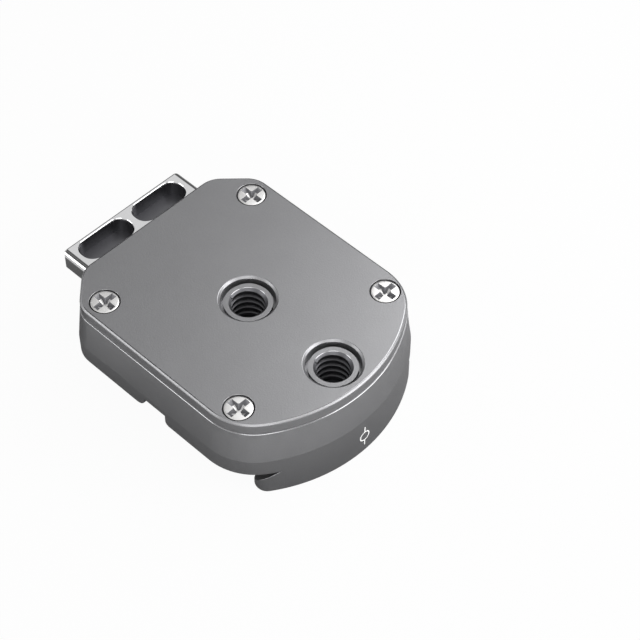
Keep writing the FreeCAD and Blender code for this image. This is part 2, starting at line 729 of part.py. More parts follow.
def make_moving_jaw():
    """The moving jaw: dovetail bar, neck and the crosshead that the springs press."""
    body = new_body("moving_jaw")
    bar = new_sketch(body, "jaw_bar_outline", "XY_Plane", FOOT_Z)
    back = MOVING_BACK_X
    draw_outline(bar, [
        (back, "0 - jaw_half_length", "jaw_back_corner_radius"),
        (MOVING_NOSE_X, "0 - jaw_half_length", "jaw_corner_radius"),
        (MOVING_NOSE_X, "jaw_half_length", "jaw_corner_radius"),
        (back, "jaw_half_length", "jaw_back_corner_radius"),
    ])
    pad(body, "jaw_bar", bar, "jaw_height - slide_clearance")
    slope = new_sketch(body, "moving_undercut_profile", "XZ_Plane")
    draw_outline(slope, [
        (MOVING_APEX_X, BASE_Z),
        (MOVING_NOSE_X, f"{FOOT_Z} + jaw_lip"),
        (f"{MOVING_NOSE_X} + jaw_height", f"{FOOT_Z} + jaw_lip"),
        (f"{MOVING_NOSE_X} + jaw_height", BASE_Z),
    ])
    pocket(body, "moving_undercut", slope, "3 * jaw_half_length", midplane=True)
    side = new_sketch(body, "neck_profile", "XZ_Plane")
    draw_outline(side, [
        (back, f"{BASE_Z} - slide_clearance"),
        (f"{MOVING_APEX_X} - slide_clearance", f"{BASE_Z} - slide_clearance"),
        (f"{MOVING_APEX_X} - slide_clearance", f"{BASE_Z} + slide_clearance"),
        (HEAD_INNER_X, f"{BASE_Z} + slide_clearance"),
        (HEAD_INNER_X, TAB_FLOOR_Z),
        (back, TAB_FLOOR_Z),
    ])
    pad(body, "neck", side, f"2 * ( {NECK_HALF} )", midplane=True)
    head = new_sketch(body, "crosshead_outline", "XY_Plane", HEAD_FLOOR_Z)
    draw_outline(head, [
        (HEAD_OUTER_X, f"0 - ( {HEAD_HALF} )"),
        (HEAD_INNER_X, f"0 - ( {HEAD_HALF} )"),
        (HEAD_INNER_X, HEAD_HALF),
        (HEAD_OUTER_X, HEAD_HALF),
    ])
    pad(body, "crosshead", head, f"{TAB_FLOOR_Z} - ( {HEAD_FLOOR_Z} )")
    runs = new_sketch(body, "pin_run_outline", "YZ_Plane", HEAD_OUTER_X)
    for place in BOTH_SIDES:
        draw_circle(runs, place, PIN_Z, "pin_radius + pin_running_clearance")
    pocket(body, "pin_runs", runs, "3 * head_thickness", midplane=True)
    taps = new_sketch(body, "jaw_screw_bore_outline", "XY_Plane", TAB_FLOOR_Z)
    for place in ("jaw_screw_side", "0 - jaw_screw_side"):
        draw_circle(taps, JAW_SCREW_X, place, "jaw_screw_radius + seat_clearance")
    pocket(body, "jaw_screw_bores", taps, "jaw_screw_length + end_clearance - tab_thickness")
    return body


def make_pin(label, side):
    """A guide pin pressed into the plate body, on which the crosshead slides."""
    body = new_body(label)
    profile = new_sketch(body, f"{label}_profile", "XZ_Plane")
    outer = "pin_end_recess - tail_reach - wall_flare"
    inner = f"{PIN_BLIND_X} - end_clearance"
    draw_outline(profile, [
        (outer, "0"),
        (outer, "pin_radius - pin_chamfer"),
        (f"{outer} + pin_chamfer", "pin_radius"),
        (inner, "pin_radius"),
        (inner, "0"),
    ])
    doc.recompute()
    turned = body.newObject("PartDesign::Revolution", f"{label}_turned")
    turned.Profile = profile
    turned.ReferenceAxis = (profile, ["H_Axis"])
    bind(body, ".Placement.Base.y", side)
    bind(body, ".Placement.Base.z", PIN_Z)
    doc.recompute()
    return body


def make_spring(label, side):
    """A return spring round a guide pin, between the body's seat and the crosshead."""
    body = new_body(label)
    low = SPRING_SEAT_X
    high = f"{SPRING_SEAT_X} + spring_wire_width"
    inner = "spring_mean_radius - spring_wire_width / 2"
    outer = "spring_mean_radius + spring_wire_width / 2"
    profile = new_sketch(body, f"{label}_wire", "XZ_Plane")
    draw_outline(profile, [(low, inner), (high, inner), (high, outer), (low, outer)])
    doc.recompute()
    coil = body.newObject("PartDesign::AdditiveHelix", f"{label}_coil")
    coil.Profile = profile
    coil.ReferenceAxis = (profile, ["H_Axis"])
    coil.Mode = "height-turns-angle"
    bind(coil, "Height", f"{HEAD_OUTER_X} - ( {SPRING_SEAT_X} ) - spring_wire_width")
    bind(coil, "Turns", "spring_turns")
    bind(body, ".Placement.Base.y", side)
    bind(body, ".Placement.Base.z", PIN_Z)
    doc.recompute()
    return body


COVER_SCREW = (
    "screw_radius", "countersink_radius", "screw_length",
    "recess_span", "recess_arm_width",
)
JAW_SCREW = (
    "jaw_screw_radius", "jaw_countersink_radius", "jaw_screw_length",
    "jaw_recess_span", "jaw_recess_arm_width",
)

nodes = [make_housing(), make_cover(), make_tab(), make_moving_jaw()]
for number, (place_x, place_y) in enumerate(SCREW_PLACES, start=1):
    nodes.append(make_screw(f"cover_screw_{number}", place_x, place_y, TOP_Z, COVER_SCREW))
for name, place in (("left", "jaw_screw_side"), ("right", "0 - jaw_screw_side")):
    nodes.append(make_screw(f"jaw_screw_{name}", JAW_SCREW_X, place, TAB_TOP_Z, JAW_SCREW))
for name, place in zip(("left", "right"), BOTH_SIDES):
    nodes.append(make_pin(f"guide_pin_{name}", place))
    nodes.append(make_spring(f"return_spring_{name}", place))
doc.recompute()

for item in doc.Objects:
    faults = [word for word in item.State if word in ("Invalid", "Error")]
    if faults:
        raise RuntimeError(f"{item.Name} is {faults}")
    if item.isDerivedFrom("Sketcher::SketchObject") and item.solve() != 0:
        raise RuntimeError(f"{item.Name} cannot be solved")
for node in nodes:
    if node.Shape.isNull() or not node.Shape.isValid() or len(node.Shape.Solids) != 1:
        raise RuntimeError(f"{node.Label} is not one sound solid")

os.makedirs("parts", exist_ok=True)
for node in nodes:
    node.Shape.exportStep(os.path.join("parts", f"{node.Label}.step"))
    print(node.Label, round(node.Shape.Volume, 1), node.Shape.BoundBox)
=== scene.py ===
"""Quick release clamp plate: the looks of the part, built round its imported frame.

Sizes are in millimetres and are turned to metres where a mesh is made. The frame has its
origin at the mouth of the centre threaded hole, +Z out of it, +X towards the round end.
"""

import logging
import math
from dataclasses import dataclass
from enum import Enum
from typing import Callable, Iterable, Sequence

import bmesh
import bpy
from mathutils import Matrix, Vector


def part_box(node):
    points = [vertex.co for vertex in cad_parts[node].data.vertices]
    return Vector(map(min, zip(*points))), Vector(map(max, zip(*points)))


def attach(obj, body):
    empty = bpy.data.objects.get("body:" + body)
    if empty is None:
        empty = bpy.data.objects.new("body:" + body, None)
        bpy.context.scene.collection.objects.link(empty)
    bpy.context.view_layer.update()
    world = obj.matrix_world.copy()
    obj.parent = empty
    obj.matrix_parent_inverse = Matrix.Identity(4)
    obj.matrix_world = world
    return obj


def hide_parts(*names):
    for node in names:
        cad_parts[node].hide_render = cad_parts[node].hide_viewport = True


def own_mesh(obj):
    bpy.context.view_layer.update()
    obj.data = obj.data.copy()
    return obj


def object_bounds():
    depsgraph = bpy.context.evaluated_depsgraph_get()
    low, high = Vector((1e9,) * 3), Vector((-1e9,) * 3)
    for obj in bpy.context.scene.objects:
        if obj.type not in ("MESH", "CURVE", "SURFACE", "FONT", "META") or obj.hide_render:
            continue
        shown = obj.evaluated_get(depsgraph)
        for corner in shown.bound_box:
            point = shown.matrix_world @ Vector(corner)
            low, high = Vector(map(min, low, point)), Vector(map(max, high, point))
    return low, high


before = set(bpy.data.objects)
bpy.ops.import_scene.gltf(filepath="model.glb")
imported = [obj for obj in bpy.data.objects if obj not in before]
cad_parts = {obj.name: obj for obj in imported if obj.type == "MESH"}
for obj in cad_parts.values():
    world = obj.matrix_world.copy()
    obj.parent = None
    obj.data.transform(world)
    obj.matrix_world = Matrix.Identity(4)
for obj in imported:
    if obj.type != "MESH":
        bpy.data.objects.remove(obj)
CAD_BOX = [[float(c) for c in corner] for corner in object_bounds()]

LOG = logging.getLogger("clamp_plate")
MM = 0.001
PLATE = "plate"
SLIDER = "slider"
SIDES = ("left", "right")
# Along X, where the two threaded holes stand.
BORES = (0.0, 18.0)
# The face attribute that carries a finish's number.
MARK = "finish_number"
WHITE = "FFFFFF"
# Points nearer than this, in metres, are one: in a mesh made here, and in a CAD node's copy.
MERGE = 1e-7
CAD_MERGE = 2e-6
Point = tuple[float, float, float]


def linear(hex_colour: str) -> tuple[float, float, float, float]:
    """Turn an sRGB hex colour into linear RGBA, by the curve of the sRGB standard.

    Args:
        hex_colour: six hex digits.

    Returns:
        Red, green, blue and alpha as linear values.
    """
    channels = [int(hex_colour[i : i + 2], 16) / 255 for i in (0, 2, 4)]
    red, green, blue = [
        c / 12.92 if c <= 0.04045 else ((c + 0.055) / 1.055) ** 2.4 for c in channels
    ]
    return red, green, blue, 1.0


def per_metre(millimetres: float) -> float:
    """The texture scale that repeats a pattern every so many millimetres."""
    return 1.0 / (millimetres * MM)


def add_node(
    tree: bpy.types.NodeTree,
    kind: str,
    sockets: dict[str | int, object] | None = None,
    **settings: object,
) -> bpy.types.Node:
    """Add a node with its settings, and link or fill its inputs.

    Args:
        tree: the node tree that receives the node.
        kind: the node's type name.
        sockets: input name or number to an output socket or a plain value.
        settings: properties of the node itself.

    Returns:
        The new node.
    """
    node = tree.nodes.new(kind)
    for name, setting in settings.items():
        setattr(node, name, setting)
    for name, source in (sockets or {}).items():
        if isinstance(source, bpy.types.NodeSocket):
            tree.links.new(source, node.inputs[name])
        else:
            node.inputs[name].default_value = source
    return node


def empty_tree(owner: bpy.types.Material | bpy.types.World) -> bpy.types.NodeTree:
    """Switch a material or the world to nodes.

    Args:
        owner: what the tree belongs to.

    Returns:
        Its node tree, with nothing in it.
    """
    owner.use_nodes = True
    owner.node_tree.nodes.clear()
    return owner.node_tree


def ray_kinds(tree: bpy.types.NodeTree) -> tuple[bpy.types.NodeSocket, bpy.types.NodeSocket]:
    """Tell the camera's own rays and the reflected ones from all others.

    Args:
        tree: the node tree that asks.

    Returns:
        Two sockets that give one or nought: for a ray from the camera, and for a ray that
        comes by way of gloss or glass.
    """
    rays = add_node(tree, "ShaderNodeLightPath").outputs
    reflected = add_node(tree, "ShaderNodeMath", {
        0: rays["Is Glossy Ray"], 1: rays["Is Transmission Ray"],
    }, operation="MAXIMUM")
    return rays["Is Camera Ray"], reflected.outputs[0]


@dataclass(frozen=True)
class PaintedPocketShade:
    """A pocket of a polished piece, drawn rougher and with painted shade that darkens it inside.

    The pocket is the box from low to high, in millimetres.
    """

    low: Point
    high: Point
    colour: str
    roughness: float

    def mask(self, tree: bpy.types.NodeTree, place: bpy.types.NodeSocket) -> bpy.types.NodeSocket:
        """One inside the pocket and nought outside it.

        Args:
            tree: the material's node tree.
            place: object coordinates.

        Returns:
            The mask's socket.
        """
        middle = tuple((a + b) / 2 * MM for a, b in zip(self.low, self.high))
        half = tuple((b - a) / 2 * MM for a, b in zip(self.low, self.high))
        offset = add_node(tree, "ShaderNodeVectorMath", {0: place, 1: middle}, operation="SUBTRACT")
        share = add_node(tree, "ShaderNodeVectorMath", {
            0: offset.outputs[0], 1: half,
        }, operation="DIVIDE")
        size = add_node(tree, "ShaderNodeVectorMath", {0: share.outputs[0]}, operation="ABSOLUTE")
        axes = add_node(tree, "ShaderNodeSeparateXYZ", {0: size.outputs[0]}).outputs
        flat = add_node(tree, "ShaderNodeMath", {0: axes[0], 1: axes[1]}, operation="MAXIMUM")
        most = add_node(tree, "ShaderNodeMath", {
            0: flat.outputs[0], 1: axes[2],
        }, operation="MAXIMUM")
        return add_node(tree, "ShaderNodeMath", {
            0: most.outputs[0], 1: 1.0,
        }, operation="LESS_THAN").outputs[0]


@dataclass(frozen=True)
class MetalFinish:
    """A metal surface: its colour, gloss and the size of its grain.

    Grain and mottle are sizes in millimetres, as drawn. The real blasting grit leaves pits of
    about 0.1 mm, and they are drawn about twice as coarse so that they show. A span is the part
    of the noise's range that is stretched to a full change of tone or gloss.
    """

    name: str
    colour: str
    roughness: float
    grain: float
    relief: float
    mottle: float = 9.0
    mottle_depth: float = 0.05
    mottle_detail: float = 3.0
    gloss_spread: float = 0.06
    gloss_span: tuple[float, float] = (0.25, 0.75)
    stretch: Point = (1.0, 1.0, 1.0)
    metallic: float = 1.0
    tone_depth: float = 0.04
    tone_span: tuple[float, float] = (0.3, 0.7)
    pit_detail: float = 2.0
    pit_roughness: float = 0.55
    pit_depth: float = 0.25
    # Painted shade for a pocket, if there is one.
    recess: PaintedPocketShade | None = None

    def build(self) -> bpy.types.Material:
        """Build the material's node tree.

        Returns:
            The finished material.
        """
        material = bpy.data.materials.new(self.name)
        tree = empty_tree(material)
        place = add_node(tree, "ShaderNodeTexCoord").outputs["Object"]
        drawn = add_node(tree, "ShaderNodeMapping", {"Vector": place, "Scale": self.stretch})
        pits = add_node(tree, "ShaderNodeTexNoise", {
            "Vector": drawn.outputs["Vector"], "Scale": per_metre(self.grain),
            "Detail": self.pit_detail, "Roughness": self.pit_roughness,
        })
        cloud = add_node(tree, "ShaderNodeTexNoise", {
            "Vector": place, "Scale": per_metre(self.mottle), "Detail": self.mottle_detail,
        })
        base = linear(self.colour)
        dark = tuple(c * (1 - self.mottle_depth) for c in base[:3]) + (1.0,)
        light = tuple(min(1.0, c * (1 + self.mottle_depth)) for c in base[:3]) + (1.0,)
        tint = add_node(tree, "ShaderNodeMix", {
            0: cloud.outputs["Fac"], 6: dark, 7: light,
        }, data_type="RGBA")
        fleck = add_node(tree, "ShaderNodeMapRange", {
            "Value": pits.outputs["Fac"],
            "From Min": self.tone_span[0], "From Max": self.tone_span[1],
            "To Min": 1 - self.tone_depth, "To Max": 1 + self.tone_depth,
        })
        flecked = add_node(tree, "ShaderNodeVectorMath", {
            0: tint.outputs[2], "Scale": fleck.outputs["Result"],
        }, operation="SCALE")
        colour = flecked.outputs["Vector"]
        gloss = add_node(tree, "ShaderNodeMapRange", {
            "Value": pits.outputs["Fac"],
            "From Min": self.gloss_span[0], "From Max": self.gloss_span[1],
            "To Min": self.roughness - self.gloss_spread,
            "To Max": self.roughness + self.gloss_spread,
        }).outputs["Result"]
        # Painted shade: inside the pocket the colour is darker, and the gloss rougher.
        if self.recess:
            inside = self.recess.mask(tree, place)
            colour = add_node(tree, "ShaderNodeMix", {
                0: inside, 6: colour, 7: linear(self.recess.colour),
            }, data_type="RGBA").outputs[2]
            gloss = add_node(tree, "ShaderNodeMix", {
                0: inside, 2: gloss, 3: self.recess.roughness,
            }, data_type="FLOAT").outputs[0]
        bump = add_node(tree, "ShaderNodeBump", {
            "Height": pits.outputs["Fac"], "Strength": self.relief,
            "Distance": self.grain * MM * self.pit_depth,
        })
        shader = add_node(tree, "ShaderNodeBsdfPrincipled", {
            "Base Color": colour, "Metallic": self.metallic,
            "Roughness": gloss, "Normal": bump.outputs["Normal"],
        })
        add_node(tree, "ShaderNodeOutputMaterial", {"Surface": shader.outputs["BSDF"]})
        return material


@dataclass(frozen=True)
class EngravedMark:
    """A laser marking: its colour, its gloss and the size of its specks in millimetres."""

    name: str
    colour: str
    roughness: float
    speck: float
    speck_detail: float = 1.0
    speck_tone: float = 0.9

    def build(self) -> bpy.types.Material:
        """Build the marking's material, with its slightly speckled tone.

        Returns:
            The finished material.
        """
        material = bpy.data.materials.new(self.name)
        tree = empty_tree(material)
        place = add_node(tree, "ShaderNodeTexCoord").outputs["Object"]
        specks = add_node(tree, "ShaderNodeTexNoise", {
            "Vector": place, "Scale": per_metre(self.speck), "Detail": self.speck_detail,
        })
        base = linear(self.colour)
        dull = tuple(c * self.speck_tone for c in base[:3]) + (1.0,)
        tone = add_node(tree, "ShaderNodeMix", {
            0: specks.outputs["Fac"], 6: dull, 7: base,
        }, data_type="RGBA")
        shader = add_node(tree, "ShaderNodeBsdfPrincipled", {
            "Base Color": tone.outputs[2], "Roughness": self.roughness, "Metallic": 0.0,
        })
        add_node(tree, "ShaderNodeOutputMaterial", {"Surface": shader.outputs["BSDF"]})
        return material


class Finish(Enum):
    """The finishes of the real object."""

    # Bead-blasted, grey-anodised aluminium: an even satin grey with a very fine grain.
    ANODISED = MetalFinish("bead_blasted_anodised_aluminium", "9E9EA0", 0.42, 0.24, 0.35)
    # Edges broken by a cutter after blasting: smoother, so they catch the light, and painted
    # lighter as a highlight.
    CUT_EDGE = MetalFinish(
        "cut_edge_painted_highlight", "ACACAE", 0.19, 0.24, 0.05,
        gloss_spread=0.03, tone_depth=0.02,
    )
    # Painted shade: the cut threads are drawn darker than the body, for the shade down in the bore;
    # their crests shine a little.
    THREAD = MetalFinish("cut_thread_painted_shade", "69696C", 0.44, 0.30, 0.15)
    # Painted shade: near black in the narrow gaps round the screw heads, where no light gets to
    # their floor.
    DEEP = MetalFinish("painted_shade_countersink", "2A2A2C", 0.60, 0.24, 0.20, tone_depth=0.02)
    # Polished and plated zinc casting: near-mirror with faint polishing lines; its pockets are
    # rougher and get painted shade.
    BRIGHT = MetalFinish(
        "polished_bright_plating", "EDEDEE", 0.11, 0.35, 0.02,
        mottle_depth=0.02, gloss_spread=0.03, stretch=(1.0, 0.12, 1.0), tone_depth=0.01,
        recess=PaintedPocketShade((-28.36, -10.46, -3.96), (-24.04, 10.46, -1.44), "747477", 0.36),
    )
    # Nickel-plated steel: bright, a little warmer and softer than the tab.
    NICKEL = MetalFinish(
        "nickel_plated_steel", "FBFAF9", 0.40, 0.30, 0.05,
        mottle=3.0, mottle_depth=0.02, gloss_spread=0.04, tone_depth=0.01,
    )
    # Painted shade: the pressed walls of a cross recess are drawn darker.
    RECESS = MetalFinish(
        "nickel_recess_painted_shade", "858588", 0.55, 0.30, 0.05,
        mottle=3.0, mottle_depth=0.03, gloss_spread=0.04, metallic=0.6, tone_depth=0.02,
    )
    # Hard-drawn spring wire: plain grey steel with a fine grain.
    SPRING = MetalFinish("drawn_spring_steel", "A9A9AB", 0.3, 0.18, 0.1)
    # Laser marking on anodised aluminium: the dye is burnt out and a dull near-white is left.
    LASERED = EngravedMark("laser_marked_aluminium", "FDFDFB", 0.75, 0.12)


class Palette:
    """Builds each finish once and hands it out."""

    def __init__(self) -> None:
        """Start with no material made."""
        self.made: dict[Finish, bpy.types.Material] = {}

    def get(self, finish: Finish) -> bpy.types.Material:
        """The material of a finish, built on first use.

        Args:
            finish: the finish.

        Returns:
            Its material.
        """
        if finish not in self.made:
            self.made[finish] = finish.value.build()
        return self.made[finish]

    def dress(self, mesh: bpy.types.Mesh, *finishes: Finish) -> None:
        """Give a mesh its finishes, one in each slot, and leave its shape as it is.

        Args:
            mesh: the mesh.
            finishes: the finishes, in the order of the slots.
        """
        mesh.materials.clear()
        for finish in finishes:
            mesh.materials.append(self.get(finish))


def new_object(name: str, data: bpy.types.ID) -> bpy.types.Object:
    """Put a mesh, lamp or camera into the scene, at the origin.

    Args:
        name: the object's name.
        data: the mesh, lamp or camera.

    Returns:
        The new object.
    """
    made = bpy.data.objects.new(name, data)
    bpy.context.scene.collection.objects.link(made)
    return made


def mesh_from(
    name: str, points: Iterable[Point], faces: Iterable[Sequence[int]]
) -> bpy.types.Mesh:
    """Make a mesh from points in millimetres, with its normals made consistent.

    Args:
        name: the mesh's name.
        points: corners in millimetres.
        faces: corner numbers of each face.

    Returns:
        The mesh, in metres.
    """
    mesh = bpy.data.meshes.new(name)
    mesh.from_pydata([[c * MM for c in p] for p in points], [], [list(f) for f in faces])
    work = bmesh.new()
    work.from_mesh(mesh)
    bmesh.ops.remove_doubles(work, verts=work.verts, dist=MERGE)
    bmesh.ops.recalc_face_normals(work, faces=work.faces)
    work.to_mesh(mesh)
    work.free()
    return mesh


def turned_mesh(
    name: str, outline: Sequence[tuple[float, float]], steps: int
) -> bpy.types.Mesh:
    """Turn an outline of (radius, height) round the Z axis.

    Args:
        name: the mesh's name.
        outline: points in millimetres, from the axis out and back to it.
        steps: how many sides the turning has.

    Returns:
        A closed mesh.
    """
    points: list[Point] = []
    rings: list[list[int]] = []
    for radius, height in outline:
        if radius == 0.0:
            rings.append([len(points)] * steps)
            points.append((0.0, 0.0, height))
            continue
        rings.append([len(points) + i for i in range(steps)])
        for i in range(steps):
            angle = math.tau * i / steps
            points.append((radius * math.cos(angle), radius * math.sin(angle), height))
    faces: list[Sequence[int]] = []
    for upper, lower in zip(rings, rings[1:]):
        for i in range(steps):
            j = (i + 1) % steps
            corners = dict.fromkeys((upper[i], upper[j], lower[j], lower[i]))
            if len(corners) > 2:
                faces.append(tuple(corners))
    return mesh_from(name, points, faces)


def settle(piece: bpy.types.Object, name: str) -> bpy.types.Object:
    """Turn what a piece's modifiers give into a plain mesh on a new piece.

    Args:
        piece: the object with its modifiers; it is removed.
        name: the new piece's name.

    Returns:
        The plain piece.
    """
    bpy.context.view_layer.update()
    seen = piece.evaluated_get(bpy.context.evaluated_depsgraph_get())
    mesh = bpy.data.meshes.new_from_object(seen)
    mesh.name = name
    bpy.data.objects.remove(piece)
    return new_object(name, mesh)


def number_faces(
    mesh: bpy.types.Mesh,
    finishes: Sequence[Finish],
    pick: Callable[[bpy.types.MeshPolygon], Finish],
) -> None:
    """Write on each face the number of its finish.

    Args:
        mesh: the mesh that is marked.
        finishes: the mesh's finishes; a finish's number is its place here.
        pick: gives a face's finish.
    """
    marks = mesh.attributes.new(MARK, "INT", "FACE")
    marks.data.foreach_set("value", [finishes.index(pick(face)) for face in mesh.polygons])


def soften(mesh: bpy.types.Mesh, degrees: float) -> None:
    """Shade a mesh smooth but for edges sharper than so many degrees."""
    mesh.shade_smooth()
    mesh.set_sharp_from_angle(angle=math.radians(degrees))


@dataclass(frozen=True)
class PaintedFloorShadow:
    """A painted shadow: a darker round of floor, as under and behind a product, that only
    reflections see.

    It is full dark within the inner radius and has ended at the outer one.
    """

    centre: tuple[float, float]
    inner: float
    outer: float
    colour: str

    def nearness(
        self, tree: bpy.types.NodeTree, place: bpy.types.NodeSocket
    ) -> bpy.types.NodeSocket:
        """One in the middle of the patch, and nought outside it.

        Args:
            tree: the floor's node tree.
            place: object coordinates.

        Returns:
            The share's socket.
        """
        middle = tuple(c * MM for c in (*self.centre, 0.0))
        aside = add_node(tree, "ShaderNodeVectorMath", {0: place, 1: middle}, operation="SUBTRACT")
        flat = add_node(tree, "ShaderNodeVectorMath", {
            0: aside.outputs[0], 1: (1.0, 1.0, 0.0),
        }, operation="MULTIPLY")
        away = add_node(tree, "ShaderNodeVectorMath", {0: flat.outputs[0]}, operation="LENGTH")
        return add_node(tree, "ShaderNodeMapRange", {
            "Value": away.outputs["Value"], "From Min": self.inner * MM,
            "From Max": self.outer * MM, "To Min": 1.0, "To Max": 0.0,
        }).outputs["Result"]


@dataclass(frozen=True)
class BlackFlag:
    """A dark card far off that only reflections see, so that polished metal has contrast.

    Rim and core are cosines of the angle away from its direction: the card starts at the rim
    and is fully dark within the core.
    """

    towards: Point
    rim: float
    core: float

    def share(
        self, tree: bpy.types.NodeTree, looking: bpy.types.NodeSocket
    ) -> bpy.types.NodeSocket:
        """How much of the card stands in a direction: one at its middle, nought outside it.

        Args:
            tree: the world's node tree.
            looking: the direction looked at.

        Returns:
            The share's socket.
        """
        facing = add_node(tree, "ShaderNodeVectorMath", {
            0: looking, 1: self.towards,
        }, operation="DOT_PRODUCT")
        return add_node(tree, "ShaderNodeMapRange", {
            "Value": facing.outputs["Value"], "From Min": self.rim, "From Max": self.core,
        }).outputs["Result"]


@dataclass(frozen=True)
class SoftBox:
    """A square lamp that faces the object, with its centre and side in millimetres.

    Its glow is its brightness, where white paper in the room's full light is 1.
    """

    name: str
    centre: Point
    side: float
    glow: float

    def hang(self) -> None:
        """Make the lamp, turn it to the object and hide it from the camera."""
        data = bpy.data.lights.new(self.name, "AREA")
        data.shape = "SQUARE"
        data.size = self.side * MM
        data.energy = self.glow * math.pi * (self.side * MM) ** 2
        lamp = new_object(self.name, data)
        lamp.location = Vector(self.centre) * MM
        lamp.rotation_euler = Vector(self.centre).to_track_quat("Z", "Y").to_euler()
        lamp.visible_camera = False


@dataclass
class Studio:
    """The camera of the photograph, a pale floor, soft lamps and a plain pale room.

    The painted floor shadows and the flags show in reflections only. The room is room_light bright
    for the light that it gives, room_in_metal in reflections and dark_in_metal there at a flag.
    """

    lens: float = 109.76
    sensor: float = 36.0
    azimuth: float = 44.216
    elevation: float = 50.005
    distance: float = 293.37
    target: Point = (10.806, 4.537, 0.9)
    nearest: float = 10.0
    floor_level: float = -14.65
    floor_reach: float = 3000.0
    floor_colour: str = "E8E8E8"
    floor_glow: float = 0.95
    # Painted shadows on the floor, seen in reflections only.
    patches: tuple[PaintedFloorShadow, ...] = (
        PaintedFloorShadow((0.0, 0.0), 30.0, 46.0, "999999"),
        PaintedFloorShadow((-130.0, 70.0), 75.0, 100.0, "4C4C4C"),
        PaintedFloorShadow((-37.0, -22.0), 10.0, 18.0, "727272"),
    )
    room_light: float = 0.36
    room_in_metal: float = 0.74
    dark_in_metal: float = 0.10
    flags: tuple[BlackFlag, ...] = (
        BlackFlag((-0.549, 0.030, 0.835), 0.966, 0.984),
        BlackFlag((-0.549, -0.380, 0.744), 0.966, 0.984),
        BlackFlag((-0.870, 0.480, 0.110), 0.820, 0.890),
        BlackFlag((-0.480, 0.870, 0.110), 0.820, 0.890),
    )
    boxes: tuple[SoftBox, ...] = (
        SoftBox("box_over", (4.0, 106.0, 118.0), 110.0, 2.15),
        SoftBox("box_left_front", (-250.0, -365.0, 170.0), 200.0, 2.9),
        SoftBox("box_front", (300.0, -290.0, 200.0), 340.0, 2.0),
        SoftBox("box_right", (350.0, 190.0, 160.0), 340.0, 3.2),
    )

    def camera(self) -> None:
        """Place the camera that was fitted to the photograph."""
        turn = math.radians(self.azimuth)
        lift = math.radians(self.elevation)
        away = Vector((
            math.cos(lift) * math.sin(turn), -math.cos(lift) * math.cos(turn), math.sin(lift),
        ))
        data = bpy.data.cameras.new("photo_camera")
        data.lens = self.lens
        data.sensor_width = self.sensor
        data.clip_start = self.nearest * MM
        camera = new_object("photo_camera", data)
        camera.location = (Vector(self.target) + away * self.distance) * MM
        camera.rotation_euler = (math.pi / 2 - lift, 0.0, turn)
        bpy.context.scene.camera = camera

    def floor(self) -> None:
        """Lay a white floor that keeps the object's shadow."""
        reach = self.floor_reach
        corners = [(-reach, -reach), (reach, -reach), (reach, reach), (-reach, reach)]
        points = [(x, y, self.floor_level) for x, y in corners]
        floor = new_object("studio_floor", mesh_from("studio_floor", points, [(0, 1, 2, 3)]))
        material = bpy.data.materials.new("white_paper_sweep")
        tree = empty_tree(material)
        from_camera, reflected = ray_kinds(tree)
        place = add_node(tree, "ShaderNodeTexCoord").outputs["Object"]
        tone: object = linear(self.floor_colour)
        # Painted shadow: each patch darkens the floor for reflected rays.
        for patch in self.patches:
            near = add_node(tree, "ShaderNodeMath", {
                0: reflected, 1: patch.nearness(tree, place),
            }, operation="MULTIPLY")
            tone = add_node(tree, "ShaderNodeMix", {
                0: near.outputs[0], 6: tone, 7: linear(patch.colour),
            }, data_type="RGBA").outputs[2]
        share = add_node(tree, "ShaderNodeMath", {
            0: from_camera, 1: self.floor_glow,
        }, operation="MULTIPLY")
        paper = add_node(tree, "ShaderNodeBsdfDiffuse", {"Color": tone})
        glow = add_node(tree, "ShaderNodeEmission", {"Color": linear(WHITE), "Strength": 1.0})
        mixed = add_node(tree, "ShaderNodeMixShader", {
            0: share.outputs[0], 1: paper.outputs[0], 2: glow.outputs[0],
        })
        add_node(tree, "ShaderNodeOutputMaterial", {"Surface": mixed.outputs[0]})
        floor.data.materials.append(material)

    def world(self) -> None:
        """Fill the room with plain pale light, and hang the flags that only reflections see."""
        world = bpy.data.worlds.new("studio_room")
        bpy.context.scene.world = world
        tree = empty_tree(world)
        from_camera, reflected = ray_kinds(tree)
        looking = add_node(tree, "ShaderNodeTexCoord").outputs["Generated"]
        dark: object = 0.0
        for flag in self.flags:
            dark = add_node(tree, "ShaderNodeMath", {
                0: dark, 1: flag.share(tree, looking),
            }, operation="MAXIMUM").outputs[0]
        room = add_node(tree, "ShaderNodeMapRange", {
            "Value": dark, "To Min": self.room_in_metal - self.room_light,
            "To Max": self.dark_in_metal - self.room_light,
        })
        metal = add_node(tree, "ShaderNodeMath", {
            0: reflected, 1: room.outputs["Result"], 2: self.room_light,
        }, operation="MULTIPLY_ADD")
        level = add_node(tree, "ShaderNodeMath", {
            0: from_camera, 1: 1.0 - self.room_light, 2: metal.outputs[0],
        }, operation="MULTIPLY_ADD")
        light = add_node(tree, "ShaderNodeBackground", {
            "Color": linear(WHITE), "Strength": level.outputs[0],
        })
        add_node(tree, "ShaderNodeOutputWorld", {"Surface": light.outputs[0]})

    def build(self) -> None:
        """Set up camera, floor, world and lamps."""
        self.camera()
        self.floor()
        self.world()
        for box in self.boxes:
            box.hang()
        bpy.context.scene.view_settings.view_transform = "Standard"


